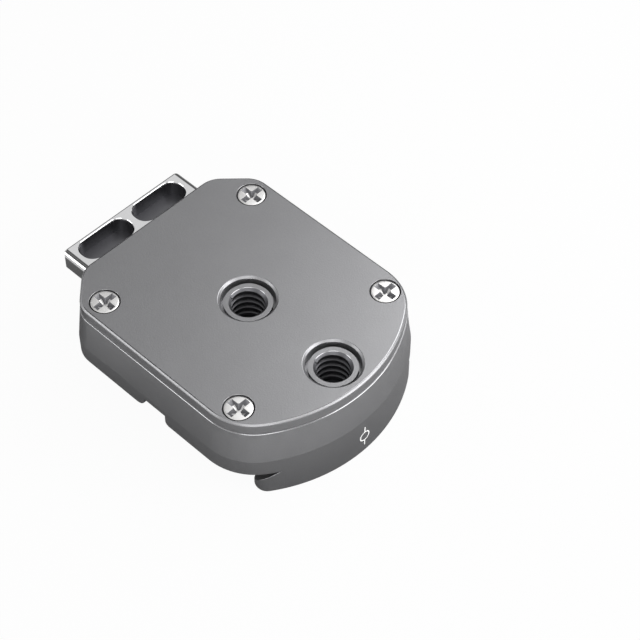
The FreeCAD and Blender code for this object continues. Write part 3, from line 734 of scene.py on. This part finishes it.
@dataclass
class EdgedPiece:
    """A node of the frame, copied and merged so that its sharp edges can be broken.

    Sizes are in millimetres and angles in degrees. Circles are (x, y, radius), seen from above.
    The edges at the mouths of dark_holes and soft_mouths are broken by mouth_share of
    edge_break, and those inside a hidden box (low, high) are left alone. Faces that lean less
    than level to each other are joined, edges steeper than sharp are broken, and edges at the
    crisp heights keep a hard border. Heights may be off by play, and top is the upper face's.
    """

    name: str
    node: str
    body: str
    slot: str
    finish: Finish
    edge_break: float = 0.07
    segments: int = 2
    sharp: float = 28.0
    level: float = 0.3
    hidden: tuple[tuple[Point, Point], ...] = ()
    dark_holes: tuple[Point, ...] = ()
    soft_mouths: tuple[Point, ...] = ()
    mouth_share: float = 0.45
    top: float = 0.0
    crisp: tuple[float, ...] = ()
    play: float = 0.02

    def within(self, spot: Vector, circles: Iterable[Point]) -> bool:
        """Whether a place lies inside one of some circles (x, y, radius), seen from above."""
        return any(math.hypot(spot.x - x * MM, spot.y - y * MM) < r * MM for x, y, r in circles)

    def in_hole(self, face: bmesh.types.BMFace) -> bool:
        """Whether a face is part of a dark hole's wall or floor, and not of the top: these faces
        get painted shade.
        """
        spot = face.calc_center_median()
        return spot.z < (self.top - self.play) * MM and self.within(spot, self.dark_holes)

    def keep_crisp(self, mesh: bpy.types.Mesh) -> None:
        """Set a hard border on the edges that run at the crisp heights.

        Args:
            mesh: the mesh that is changed.
        """
        for edge in mesh.edges:
            heights = [mesh.vertices[i].co.z for i in edge.vertices]
            for crisp in self.crisp:
                if max(abs(z - crisp * MM) for z in heights) < self.play * MM:
                    edge.use_edge_sharp = True

    def covered(self, spot: Vector) -> bool:
        """Whether a place lies where another piece hides it."""
        return any(
            all(low[i] * MM < spot[i] < high[i] * MM for i in range(3)) for low, high in self.hidden
        )

    def weigh_edges(self, work: bmesh.types.BMesh) -> None:
        """Write on each sharp edge how much of the edge break it gets.

        Args:
            work: the mesh that is changed.
        """
        weight = work.edges.layers.float.new("bevel_weight_edge")
        mouths = (*self.dark_holes, *self.soft_mouths)
        for edge in work.edges:
            if len(edge.link_faces) != 2 or edge.calc_face_angle() <= math.radians(self.sharp):
                continue
            middle = (edge.verts[0].co + edge.verts[1].co) / 2
            share = self.mouth_share if self.within(middle, mouths) else 1.0
            edge[weight] = 0.0 if self.covered(middle) else share

    def shape(self, work: bmesh.types.BMesh) -> None:
        """Change nothing: a piece with a form of its own overrides this."""

    def build(self, palette: Palette) -> bpy.types.Object:
        """Copy the node, break its edges and shade it.

        Args:
            palette: gives the materials.

        Returns:
            The piece that stands for the node.
        """
        finishes = [self.finish, Finish.CUT_EDGE]
        if self.dark_holes:
            finishes.append(Finish.DEEP)
        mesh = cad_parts[self.node].data.copy()
        work = bmesh.new()
        work.from_mesh(mesh)
        bmesh.ops.remove_doubles(work, verts=work.verts, dist=CAD_MERGE)
        bmesh.ops.dissolve_limit(
            work, angle_limit=math.radians(self.level), verts=work.verts, edges=work.edges,
        )
        self.shape(work)
        self.weigh_edges(work)
        for face in work.faces:
            face.smooth = True
            # Faces down in the dark holes get painted shade.
            face.material_index = finishes.index(Finish.DEEP) if self.in_hole(face) else 0
        work.to_mesh(mesh)
        work.free()
        palette.dress(mesh, *finishes)
        mesh.set_sharp_from_angle(angle=math.radians(self.sharp))
        self.keep_crisp(mesh)
        blank = new_object(self.name + "_blank", mesh)
        if self.edge_break:
            bevel = blank.modifiers.new("broken_edges", "BEVEL")
            bevel.width = self.edge_break * MM
            bevel.segments = self.segments
            bevel.limit_method = "WEIGHT"
            bevel.use_clamp_overlap = False
            # The broken edges take the cut edge's finish, painted lighter as a highlight.
            bevel.material = finishes.index(Finish.CUT_EDGE)
        even = blank.modifiers.new("even_shading", "WEIGHTED_NORMAL")
        even.keep_sharp = True
        piece = settle(blank, self.name)
        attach(piece, self.body)
        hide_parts(self.node)
        return piece


@dataclass
class PlateBody(EdgedPiece):
    """The plate body, whose rim stands a little outside the cover and catches the light.

    The rim's points lie at rim_level. The wall's faces there are known by the Z of their
    normals, which lies within wall_lean. A point moves where their directions agree, so that
    they add up to least_pull or more.
    """

    rim_level: float = -1.35
    rim_rise: float = 0.12
    rim_step: float = 0.14
    wall_lean: tuple[float, float] = (0.05, 0.3)
    least_pull: float = 0.5

    def shape(self, work: bmesh.types.BMesh) -> None:
        """Set the rim up, and outwards along the wall's own direction.

        Args:
            work: the mesh that is changed.
        """
        least, most = self.wall_lean
        moves: dict[bmesh.types.BMVert, Vector] = {}
        for vert in work.verts:
            if abs(vert.co.z - self.rim_level * MM) > CAD_MERGE:
                continue
            out = Vector((0.0, 0.0, 0.0))
            for face in vert.link_faces:
                if least < face.normal.z < most:
                    out += Vector((face.normal.x, face.normal.y, 0.0)).normalized()
            if out.length > self.least_pull:
                moves[vert] = out.normalized() * self.rim_step * MM
        for vert, move in moves.items():
            vert.co += move + Vector((0.0, 0.0, self.rim_rise * MM))


@dataclass
class NodeRecipe:
    """A Geometry Nodes tree with named inputs, run once to give a plain mesh."""

    name: str
    inputs: dict[str, float | int]

    def __post_init__(self) -> None:
        """Open the tree, with its group input and output."""
        self.tree = bpy.data.node_groups.new(self.name, "GeometryNodeTree")
        self.socket("Geometry", "INPUT", "NodeSocketGeometry")
        for label, default in self.inputs.items():
            kind = "NodeSocketInt" if isinstance(default, int) else "NodeSocketFloat"
            self.socket(label, "INPUT", kind).default_value = default
        self.socket("Geometry", "OUTPUT", "NodeSocketGeometry")
        self.given = self.add("NodeGroupInput").outputs

    def socket(self, label: str, side: str, kind: str) -> bpy.types.NodeTreeInterfaceSocket:
        """Add a socket to the tree's interface."""
        return self.tree.interface.new_socket(label, in_out=side, socket_type=kind)

    def add(
        self, kind: str, sockets: dict[str | int, object] | None = None, **settings: object
    ) -> bpy.types.Node:
        """Add a node to this tree."""
        return add_node(self.tree, kind, sockets, **settings)

    def finish(
        self, shape: bpy.types.NodeSocket, palette: Palette, finishes: Sequence[Finish]
    ) -> None:
        """End the tree: real geometry with its materials.

        Args:
            shape: the geometry.
            palette: gives the materials.
            finishes: the first for every face, the next ones for the faces that carry
                their number.
        """
        real = self.add("GeometryNodeRealizeInstances", {"Geometry": shape}).outputs[0]
        painted = self.add("GeometryNodeSetMaterial", {
            "Geometry": real, "Material": palette.get(finishes[0]),
        })
        for number, finish in enumerate(finishes[1:], 1):
            marked = self.add("GeometryNodeInputNamedAttribute", {"Name": MARK}, data_type="INT")
            same = self.add("FunctionNodeCompare", {
                "A": marked.outputs["Attribute"], "B": number,
            }, data_type="INT", operation="EQUAL")
            painted = self.add("GeometryNodeSetMaterial", {
                "Geometry": painted.outputs[0], "Selection": same.outputs[0],
                "Material": palette.get(finish),
            })
        self.add("NodeGroupOutput", {0: painted.outputs[0]})

    def run(self, piece_name: str, seed: bpy.types.Mesh | None = None) -> bpy.types.Object:
        """Run the tree on a seed mesh.

        Args:
            piece_name: the name of the finished piece.
            seed: the mesh the tree starts from, or none for an empty one.

        Returns:
            A plain piece with the tree's result.
        """
        carrier = new_object(piece_name + "_seed", seed or bpy.data.meshes.new(piece_name))
        modifier = carrier.modifiers.new("recipe", "NODES")
        modifier.node_group = self.tree
        for item in self.tree.interface.items_tree:
            if item.in_out == "INPUT" and item.name in self.inputs:
                modifier[item.identifier] = self.inputs[item.name]
        return settle(carrier, piece_name)


@dataclass
class ThreadRidges:
    """The quarter inch threads: in each bore a lead-in cone, a lining and a wound ridge.

    The cone ends in a lip, (out, down) from its foot, and the root wall starts run_out below.
    The ridge reaches into the lining by its bite. Inside the mouth ring, faces lower than
    bevels_down times the mouth's bevel are thread.
    """

    bore_radius: float = 3.165
    mouth_radius: float = 3.04
    mouth_bevel: float = 0.05
    outer_chamfer: float = 0.2
    lip: tuple[float, float] = (0.02, 0.08)
    run_out: float = 0.35
    root_radius: float = 3.08
    minor_radius: float = 2.60
    pitch: float = 1.27
    bottom: float = -6.3
    floor: float = -6.395
    face: float = -0.003
    top: float = -0.5
    foot_width: float = 1.1
    crest_width: float = 0.62
    bite: float = 0.04
    bevels_down: float = 1.2
    steps: int = 96
    turn_steps: int = 64
    shade_angle: float = 25.0
    finishes: tuple[Finish, ...] = (Finish.THREAD, Finish.ANODISED, Finish.CUT_EDGE)

    def lining(self) -> bpy.types.Mesh:
        """Turn the bore's lining: mouth ring, lead-in cone, root wall and floor.

        Returns:
            The lining's mesh, with its faces numbered by finish.
        """
        cone = self.mouth_radius - self.mouth_bevel - self.minor_radius
        foot = self.face - cone - self.mouth_bevel
        out, down = self.lip
        outline = [
            (0.0, self.bottom),
            (self.root_radius, self.bottom),
            (self.root_radius, foot - self.run_out),
            (self.minor_radius + out, foot - down),
            (self.minor_radius, foot),
            (self.mouth_radius - self.mouth_bevel, self.face - self.mouth_bevel),
            (self.mouth_radius, self.face),
            (self.bore_radius + self.outer_chamfer, self.face),
            (self.bore_radius, self.face - self.outer_chamfer),
            (self.bore_radius, self.floor),
            (0.0, self.floor),
        ]
        mesh = turned_mesh("bore_lining", outline, self.steps)
        number_faces(mesh, self.finishes, self.face_finish)
        return mesh

    def face_finish(self, face: bpy.types.MeshPolygon) -> Finish:
        """The mouth ring is blasted like the body, its inner edge is cut, the rest is thread.

        Args:
            face: a face of the lining.

        Returns:
            Its finish.
        """
        spot = face.center / MM
        if spot.xy.length >= self.mouth_radius:
            return Finish.ANODISED
        below = spot.z < self.face - self.mouth_bevel * self.bevels_down
        return Finish.THREAD if below else Finish.CUT_EDGE

    def build(self, palette: Palette) -> bpy.types.Object:
        """Wind the ridge, join it to the lining, copy both to each bore and settle them.

        Args:
            palette: gives the materials.

        Returns:
            The finished thread piece.
        """
        rise = self.top - self.bottom
        depth = self.root_radius + self.bite - self.minor_radius
        recipe = NodeRecipe("wound_thread", {
            "Turns": rise / self.pitch, "Radius": (self.minor_radius + depth / 2) * MM,
            "Rise": rise * MM, "Depth": depth * MM, "Foot": self.foot_width * MM,
            "Crest": self.crest_width * MM, "Spacing": (BORES[1] - BORES[0]) * MM,
            "Holes": len(BORES),
        })
        given = recipe.given
        helix = recipe.add("GeometryNodeCurveSpiral", {
            "Resolution": self.turn_steps, "Rotations": given["Turns"],
            "Start Radius": given["Radius"], "End Radius": given["Radius"],
            "Height": given["Rise"], "Reverse": True,
        })
        raised = recipe.add("GeometryNodeTransform", {
            "Geometry": helix.outputs[0], "Translation": (0.0, 0.0, self.bottom * MM),
        })
        upright = recipe.add("GeometryNodeSetCurveNormal", {
            "Curve": raised.outputs[0],
        }, mode="Z_UP")
        ridge = recipe.add("GeometryNodeCurvePrimitiveQuadrilateral", {
            "Height": given["Depth"], "Bottom Width": given["Foot"],
            "Top Width": given["Crest"], "Offset": 0.0,
        }, mode="TRAPEZOID")
        turned = recipe.add("GeometryNodeTransform", {
            "Geometry": ridge.outputs[0], "Rotation": (0.0, 0.0, math.pi / 2),
        })
        wound = recipe.add("GeometryNodeCurveToMesh", {
            "Curve": upright.outputs[0], "Profile Curve": turned.outputs[0], "Fill Caps": True,
        })
        threaded = recipe.add("GeometryNodeJoinGeometry")
        for shape in (given["Geometry"], wound.outputs[0]):
            recipe.tree.links.new(shape, threaded.inputs[0])
        step = recipe.add("ShaderNodeCombineXYZ", {0: given["Spacing"]})
        holes = recipe.add("GeometryNodeMeshLine", {
            "Count": given["Holes"], "Start Location": (BORES[0] * MM, 0.0, 0.0),
            "Offset": step.outputs[0],
        })
        both = recipe.add("GeometryNodeInstanceOnPoints", {
            "Points": holes.outputs[0], "Instance": threaded.outputs[0],
        })
        recipe.finish(both.outputs[0], palette, self.finishes)
        piece = recipe.run("thread_ridges", self.lining())
        soften(piece.data, self.shade_angle)
        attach(piece, PLATE)
        return piece


@dataclass
class CrossScrews:
    """Countersunk screws with a cross recess, one in place of each node.

    rim_curve holds the head's rounding as (inwards, down) in parts of rim_round. sections holds
    the recess as (height, share of the span, share of the arm's width), and notch is how far
    from the axis the arms part, in half arms. The last fields sort the faces by finish. A wall
    is a face whose normal is lower than steep, an arm's end lies beyond arm_end of the reach,
    and the middle of the floor is level and lies within heart. The side is within side_depth
    of the head's edge and lower than side_start times the rounding.
    """

    name: str
    body: str
    nodes: Sequence[str]
    shank_radius: float
    span: float
    arm: float
    land: float = 0.39
    rim_round: float = 0.12
    rim_curve: tuple[tuple[float, float], ...] = ((2.2, 0.0), (0.8, 0.22), (0.2, 0.6), (0.0, 1.0))
    tip: float = 0.5
    sections: tuple[Point, ...] = (
        (0.3, 1.06, 1.08), (0.0, 1.0, 1.0), (-0.42, 0.80, 0.74),
        (-0.55, 0.62, 0.64), (-1.0, 0.26, 0.32),
    )
    notch: float = 1.35
    steps: int = 72
    shade_angle: float = 28.0
    finishes: tuple[Finish, ...] = (Finish.NICKEL, Finish.RECESS, Finish.DEEP)
    steep: float = 0.62
    arm_end: float = 0.66
    level: float = 0.99
    heart: float = 0.1
    side_depth: float = 0.05
    side_start: float = 0.7
    face_play: float = 0.02
    floor_play: float = 0.01

    def __post_init__(self) -> None:
        """Take the head's radius, the length and the places from the frame."""
        boxes = [[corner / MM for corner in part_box(node)] for node in self.nodes]
        self.places = [((low + high) / 2).to_tuple()[:2] + (high.z,) for low, high in boxes]
        low, high = boxes[0]
        self.head_radius = (high.x - low.x) / 2
        self.length = high.z - low.z

    def head(self) -> bpy.types.Mesh:
        """Turn the screw's outline round its axis.

        Returns:
            The screw's mesh, without its recess.
        """
        cone = self.head_radius - self.shank_radius
        outline = [
            (0.0, 0.0),
            *[
                (self.head_radius - self.rim_round * inwards, -self.rim_round * down)
                for inwards, down in self.rim_curve
            ],
            (self.head_radius, -self.land),
            (self.shank_radius, -self.land - cone),
            (self.shank_radius, -self.length + self.shank_radius * self.tip),
            (self.shank_radius * self.tip, -self.length),
            (0.0, -self.length),
        ]
        return turned_mesh("screw_blank", outline, self.steps)

    def recess(self) -> bpy.types.Mesh:
        """Make the cross-shaped punch that forms the recess: broad at the face, narrow below.

        Returns:
            The punch's closed mesh.
        """
        points: list[Point] = []
        for height, long, broad in self.sections:
            wide = self.arm / 2 * broad
            reach = self.span / 2 * long
            inner = wide * self.notch
            quarter = [(reach, -wide), (reach, wide), (inner, wide), (wide, inner)]
            for turn in range(4):
                spin = Matrix.Rotation(math.pi / 2 * turn, 2)
                points += [(*(spin @ Vector(corner)), height) for corner in quarter]
        last = len(self.sections) - 1
        ring = len(points) // len(self.sections)
        faces: list[Sequence[int]] = [tuple(range(ring))]
        for low in range(last):
            for side in range(ring):
                after = (side + 1) % ring
                faces.append((
                    low * ring + side, low * ring + after,
                    (low + 1) * ring + after, (low + 1) * ring + side,
                ))
        faces.append(tuple(last * ring + i for i in range(ring)))
        return mesh_from("cross_punch", points, faces)

    def face_finish(self, face: bpy.types.MeshPolygon) -> Finish:
        """Head and recess floor are plain nickel; recess walls, arm ends and the side get painted
        shade.

        Args:
            face: a face of the screw.

        Returns:
            Its finish.
        """
        spot = face.center / MM
        across = spot.xy.length
        lean = abs(face.normal.z)
        floor = self.sections[-1][0] - self.floor_play
        below_rim = spot.z < -self.rim_round * self.side_start
        # Painted shade, near black, on the head's side down in the countersink.
        if below_rim and across > self.head_radius - self.side_depth:
            return Finish.DEEP
        if spot.z > -self.face_play or spot.z < floor or across > self.span / 2:
            return Finish.NICKEL
        if lean > self.level and across < self.heart:
            return Finish.NICKEL
        # Painted shade on the recess walls and the arm ends.
        dark = lean < self.steep or across > self.arm_end * self.span / 2
        return Finish.RECESS if dark else Finish.NICKEL

    def build(self, palette: Palette) -> bpy.types.Object:
        """Punch the recess and set a screw at each place.

        Args:
            palette: gives the materials.

        Returns:
            One piece with all the screws.
        """
        punch = new_object("punch", self.recess())
        blank = new_object("blank", self.head())
        cut = blank.modifiers.new("recess", "BOOLEAN")
        cut.operation = "DIFFERENCE"
        cut.solver = "EXACT"
        cut.object = punch
        screw = settle(blank, self.name + "_master")
        bpy.data.objects.remove(punch)
        number_faces(screw.data, self.finishes, self.face_finish)
        seats = bpy.data.meshes.new(self.name + "_seats")
        seats.from_pydata([[c * MM for c in place] for place in self.places], [], [])
        recipe = NodeRecipe(self.name + "_set", {})
        master = recipe.add("GeometryNodeObjectInfo", {"Object": screw, "As Instance": True})
        points = recipe.add("GeometryNodeMeshToPoints", {"Mesh": recipe.given["Geometry"]})
        each = recipe.add("GeometryNodeInstanceOnPoints", {
            "Points": points.outputs[0], "Instance": master.outputs["Geometry"],
        })
        recipe.finish(each.outputs[0], palette, self.finishes)
        piece = recipe.run(self.name, seats)
        bpy.data.objects.remove(screw)
        soften(piece.data, self.shade_angle)
        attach(piece, self.body)
        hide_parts(*self.nodes)
        return piece


@dataclass
class IndexMark:
    """A plain index mark on the round end: a ring with a stroke above and one below.

    It stands proud of the wall by a hair and bites into it, so that no gap shows. A stroke
    starts overlap of its own width outside the ring's middle line.
    """

    wall_centre: float = -2.05
    wall_radius: float = 26.6
    level: float = -11.05
    along: float = 0.1
    ring_radius: float = 0.92
    ring_steps: int = 48
    stroke: float = 0.21
    overlap: float = 0.3
    reach: float = 2.15
    proud: float = 0.012
    bite: float = 0.03

    def on_wall(self, across: float, height: float, lift: float) -> Point:
        """A point on the round wall.

        Args:
            across: the way along the wall's curve from the mark's middle.
            height: the way up from the mark's middle.
            lift: how far the point stands out of the wall.

        Returns:
            The point, in millimetres.
        """
        angle = (self.along + across) / self.wall_radius
        radius = self.wall_radius + lift
        x = self.wall_centre + radius * math.cos(angle)
        return (x, radius * math.sin(angle), self.level + height)

    def ribbon(
        self, path: Sequence[tuple[float, float]], closed: bool
    ) -> tuple[list[Point], list[Sequence[int]]]:
        """Make a thin strip that follows a path on the wall.

        Args:
            path: points (across, height) along the strip's middle.
            closed: whether the strip joins up.

        Returns:
            Points and faces.
        """
        points: list[Point] = []
        count = len(path)
        for i, (across, height) in enumerate(path):
            before = path[i - 1] if closed or i else path[i]
            after = path[(i + 1) % count] if closed or i < count - 1 else path[i]
            run = Vector((after[0] - before[0], after[1] - before[1])).normalized()
            side = Vector((-run.y, run.x)) * self.stroke / 2
            for sign in (1, -1):
                spot = (across + sign * side.x, height + sign * side.y)
                points += [self.on_wall(*spot, lift) for lift in (self.proud, -self.bite)]
        faces: list[Sequence[int]] = []
        for i in range(count if closed else count - 1):
            here, there = 4 * i, 4 * ((i + 1) % count)
            for a, b in ((0, 2), (2, 3), (3, 1), (1, 0)):
                faces.append((here + a, here + b, there + b, there + a))
        if not closed:
            faces += [(0, 2, 3, 1), tuple(4 * (count - 1) + k for k in (0, 1, 3, 2))]
        return points, faces

    def build(self, palette: Palette) -> bpy.types.Object:
        """Lay the ring and its two strokes on the wall.

        Args:
            palette: gives the material.

        Returns:
            The mark's piece.
        """
        angles = [math.tau * i / self.ring_steps for i in range(self.ring_steps)]
        ring = [(self.ring_radius * math.cos(a), self.ring_radius * math.sin(a)) for a in angles]
        edge = self.ring_radius + self.stroke * self.overlap
        strips = [
            self.ribbon(ring, True),
            self.ribbon([(0.0, edge), (0.0, self.reach)], False),
            self.ribbon([(0.0, -self.reach), (0.0, -edge)], False),
        ]
        points: list[Point] = []
        faces: list[Sequence[int]] = []
        for strip_points, strip_faces in strips:
            faces += [tuple(len(points) + i for i in face) for face in strip_faces]
            points += strip_points
        piece = new_object("index_mark", mesh_from("index_mark", points, faces))
        palette.dress(piece.data, Finish.LASERED)
        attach(piece, PLATE)
        return piece


# How high a spring's wire has climbed at a point along it, as a list of sums. Each gives its
# name, the operation and the two values. The first and last turn climb by one wire, so that
# they close, and the turns between them share the rest.
SPRING_CLIMB = (
    ("turn", "MULTIPLY", "Factor", "Turns"),
    ("last turn", "SUBTRACT", "Turns", 1.0),
    ("closed length", "MULTIPLY", "Wire", 3.0),
    ("open length", "SUBTRACT", "Length", "closed length"),
    ("open turns", "SUBTRACT", "Turns", 2.0),
    ("pitch", "DIVIDE", "open length", "open turns"),
    ("first part", "MINIMUM", "turn", 1.0),
    ("first climb", "MULTIPLY", "first part", "Wire"),
    ("before last", "MINIMUM", "turn", "last turn"),
    ("after first", "SUBTRACT", "before last", 1.0),
    ("middle part", "MAXIMUM", "after first", 0.0),
    ("middle climb", "MULTIPLY", "middle part", "pitch"),
    ("after last", "SUBTRACT", "turn", "last turn"),
    ("last part", "MAXIMUM", "after last", 0.0),
    ("last climb", "MULTIPLY", "last part", "Wire"),
    ("lower climb", "ADD", "first climb", "middle climb"),
    ("whole climb", "ADD", "lower climb", "last climb"),
    ("half wire", "MULTIPLY", "Wire", 0.5),
    ("height", "ADD", "whole climb", "half wire"),
)


@dataclass
class ReturnSprings:
    """Both return springs: round wire, with closed ends, at the length of their nodes."""

    wire: float = 0.4
    turns: float = 5.0
    travel: float = 4.5
    turn_steps: int = 28
    wire_sides: int = 12
    shade_angle: float = 50.0

    def wind(
        self, side: str, low: Vector, high: Vector, palette: Palette
    ) -> bpy.types.Object:
        """Wind one spring along X.

        Args:
            side: the spring's side.
            low: the lowest corner of its box, in metres.
            high: the highest corner of its box, in metres.
            palette: gives the material.

        Returns:
            The plain piece.
        """
        middle = (low + high) / 2
        recipe = NodeRecipe(f"wound_spring_{side}", {
            "Turns": self.turns, "Radius": (high.y - low.y - self.wire * MM) / 2,
            "Wire": self.wire * MM, "Length": high.x - low.x,
        })
        given = recipe.given
        helix = recipe.add("GeometryNodeCurveSpiral", {
            "Resolution": self.turn_steps, "Rotations": given["Turns"],
            "Start Radius": given["Radius"], "End Radius": given["Radius"],
            "Height": given["Length"], "Reverse": True,
        })
        known = {label: given[label] for label in ("Turns", "Wire", "Length")}
        known["Factor"] = recipe.add("GeometryNodeSplineParameter").outputs["Factor"]
        for name, operation, first, second in SPRING_CLIMB:
            known[name] = recipe.add("ShaderNodeMath", {
                0: known.get(first, first), 1: known.get(second, second),
            }, operation=operation).outputs[0]
        place = recipe.add("GeometryNodeInputPosition").outputs[0]
        flat = recipe.add("ShaderNodeSeparateXYZ", {0: place}).outputs
        spot = recipe.add("ShaderNodeCombineXYZ", {0: flat[0], 1: flat[1], 2: known["height"]})
        spread = recipe.add("GeometryNodeSetPosition", {
            "Geometry": helix.outputs[0], "Position": spot.outputs[0],
        })
        round_wire = recipe.add("GeometryNodeCurvePrimitiveCircle", {
            "Resolution": self.wire_sides, "Radius": known["half wire"],
        })
        wound = recipe.add("GeometryNodeCurveToMesh", {
            "Curve": spread.outputs[0], "Profile Curve": round_wire.outputs[0],
            "Fill Caps": True,
        })
        laid = recipe.add("GeometryNodeTransform", {
            "Geometry": wound.outputs[0], "Rotation": (0.0, math.pi / 2, 0.0),
            "Translation": (low.x, middle.y, middle.z),
        })
        recipe.finish(laid.outputs[0], palette, [Finish.SPRING])
        return recipe.run(f"coil_spring_{side}")

    def build(self, palette: Palette) -> list[bpy.types.Object]:
        """Wind a spring for each side.

        Args:
            palette: gives the material.

        Returns:
            The two spring pieces.
        """
        made = []
        for name in SIDES:
            low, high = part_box(f"return_spring_{name}")
            piece = self.wind(name, low, high, palette)
            soften(piece.data, self.shade_angle)
            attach(piece, PLATE)
            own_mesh(piece)
            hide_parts(f"return_spring_{name}")
            made.append(piece)
        return made


def circles_over(nodes: Iterable[str], radius: float) -> tuple[Point, ...]:
    """Circles round the middles of some nodes, seen from above.

    Args:
        nodes: the nodes' names.
        radius: the circles' radius, in millimetres.

    Returns:
        A circle (x, y, radius) for each node, in millimetres.
    """
    boxes = [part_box(node) for node in nodes]
    return tuple(
        ((low.x + high.x) / 2 / MM, (low.y + high.y) / 2 / MM, radius) for low, high in boxes
    )


def main() -> None:
    """Build every piece in order and report it."""
    logging.basicConfig(level=logging.INFO, format="%(message)s")
    palette = Palette()
    Studio().build()
    for side in SIDES:
        palette.dress(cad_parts[f"guide_pin_{side}"].data, Finish.SPRING)
    # Boxes of the plate body, lowest and highest corner, whose edges other pieces cover.
    under_cover = ((-22.4, -18.8, -1.2), (22.0, 18.8, -0.9))
    tab_pocket = ((-22.4, -13.0, -9.9), (-5.0, 13.0, -1.0))
    bores = tuple(((x - 3.5, -3.5, -7.0), (x + 3.5, 3.5, 0.1)) for x in BORES)
    # The height at which the flared wall turns into its lower band.
    band_top = -7.1
    cover_screws = [f"cover_screw_{i}" for i in range(1, 5)]
    makers = (
        PlateBody(
            "plate_body", "housing", PLATE, "anodised_body", Finish.ANODISED,
            hidden=(under_cover, tab_pocket, *bores), crisp=(band_top,),
        ),
        EdgedPiece(
            "cover", "cover_plate", PLATE, "anodised_body", Finish.ANODISED, edge_break=0.08,
            dark_holes=circles_over(cover_screws, radius=2.55),
            soft_mouths=tuple((x, 0.0, 5.0) for x in BORES), top=CAD_BOX[1][2] / MM,
        ),
        EdgedPiece("sliding_jaw", "moving_jaw", SLIDER, "anodised_jaw", Finish.ANODISED),
        EdgedPiece("pull_tab", "release_tab", SLIDER, "bright_tab", Finish.BRIGHT, edge_break=0.0),
        ThreadRidges(),
        CrossScrews("cover_screws", PLATE, cover_screws, shank_radius=1.25, span=3.8, arm=1.0),
        CrossScrews(
            "jaw_screws", SLIDER, [f"jaw_screw_{side}" for side in SIDES],
            shank_radius=1.0, span=2.9, arm=0.8,
        ),
        IndexMark(),
        ReturnSprings(),
    )
    for maker in makers:
        made = maker.build(palette)
        for piece in made if isinstance(made, list) else [made]:
            LOG.info("%s: %d faces", piece.name, len(piece.data.polygons))


if __name__ == "__main__":
    main()
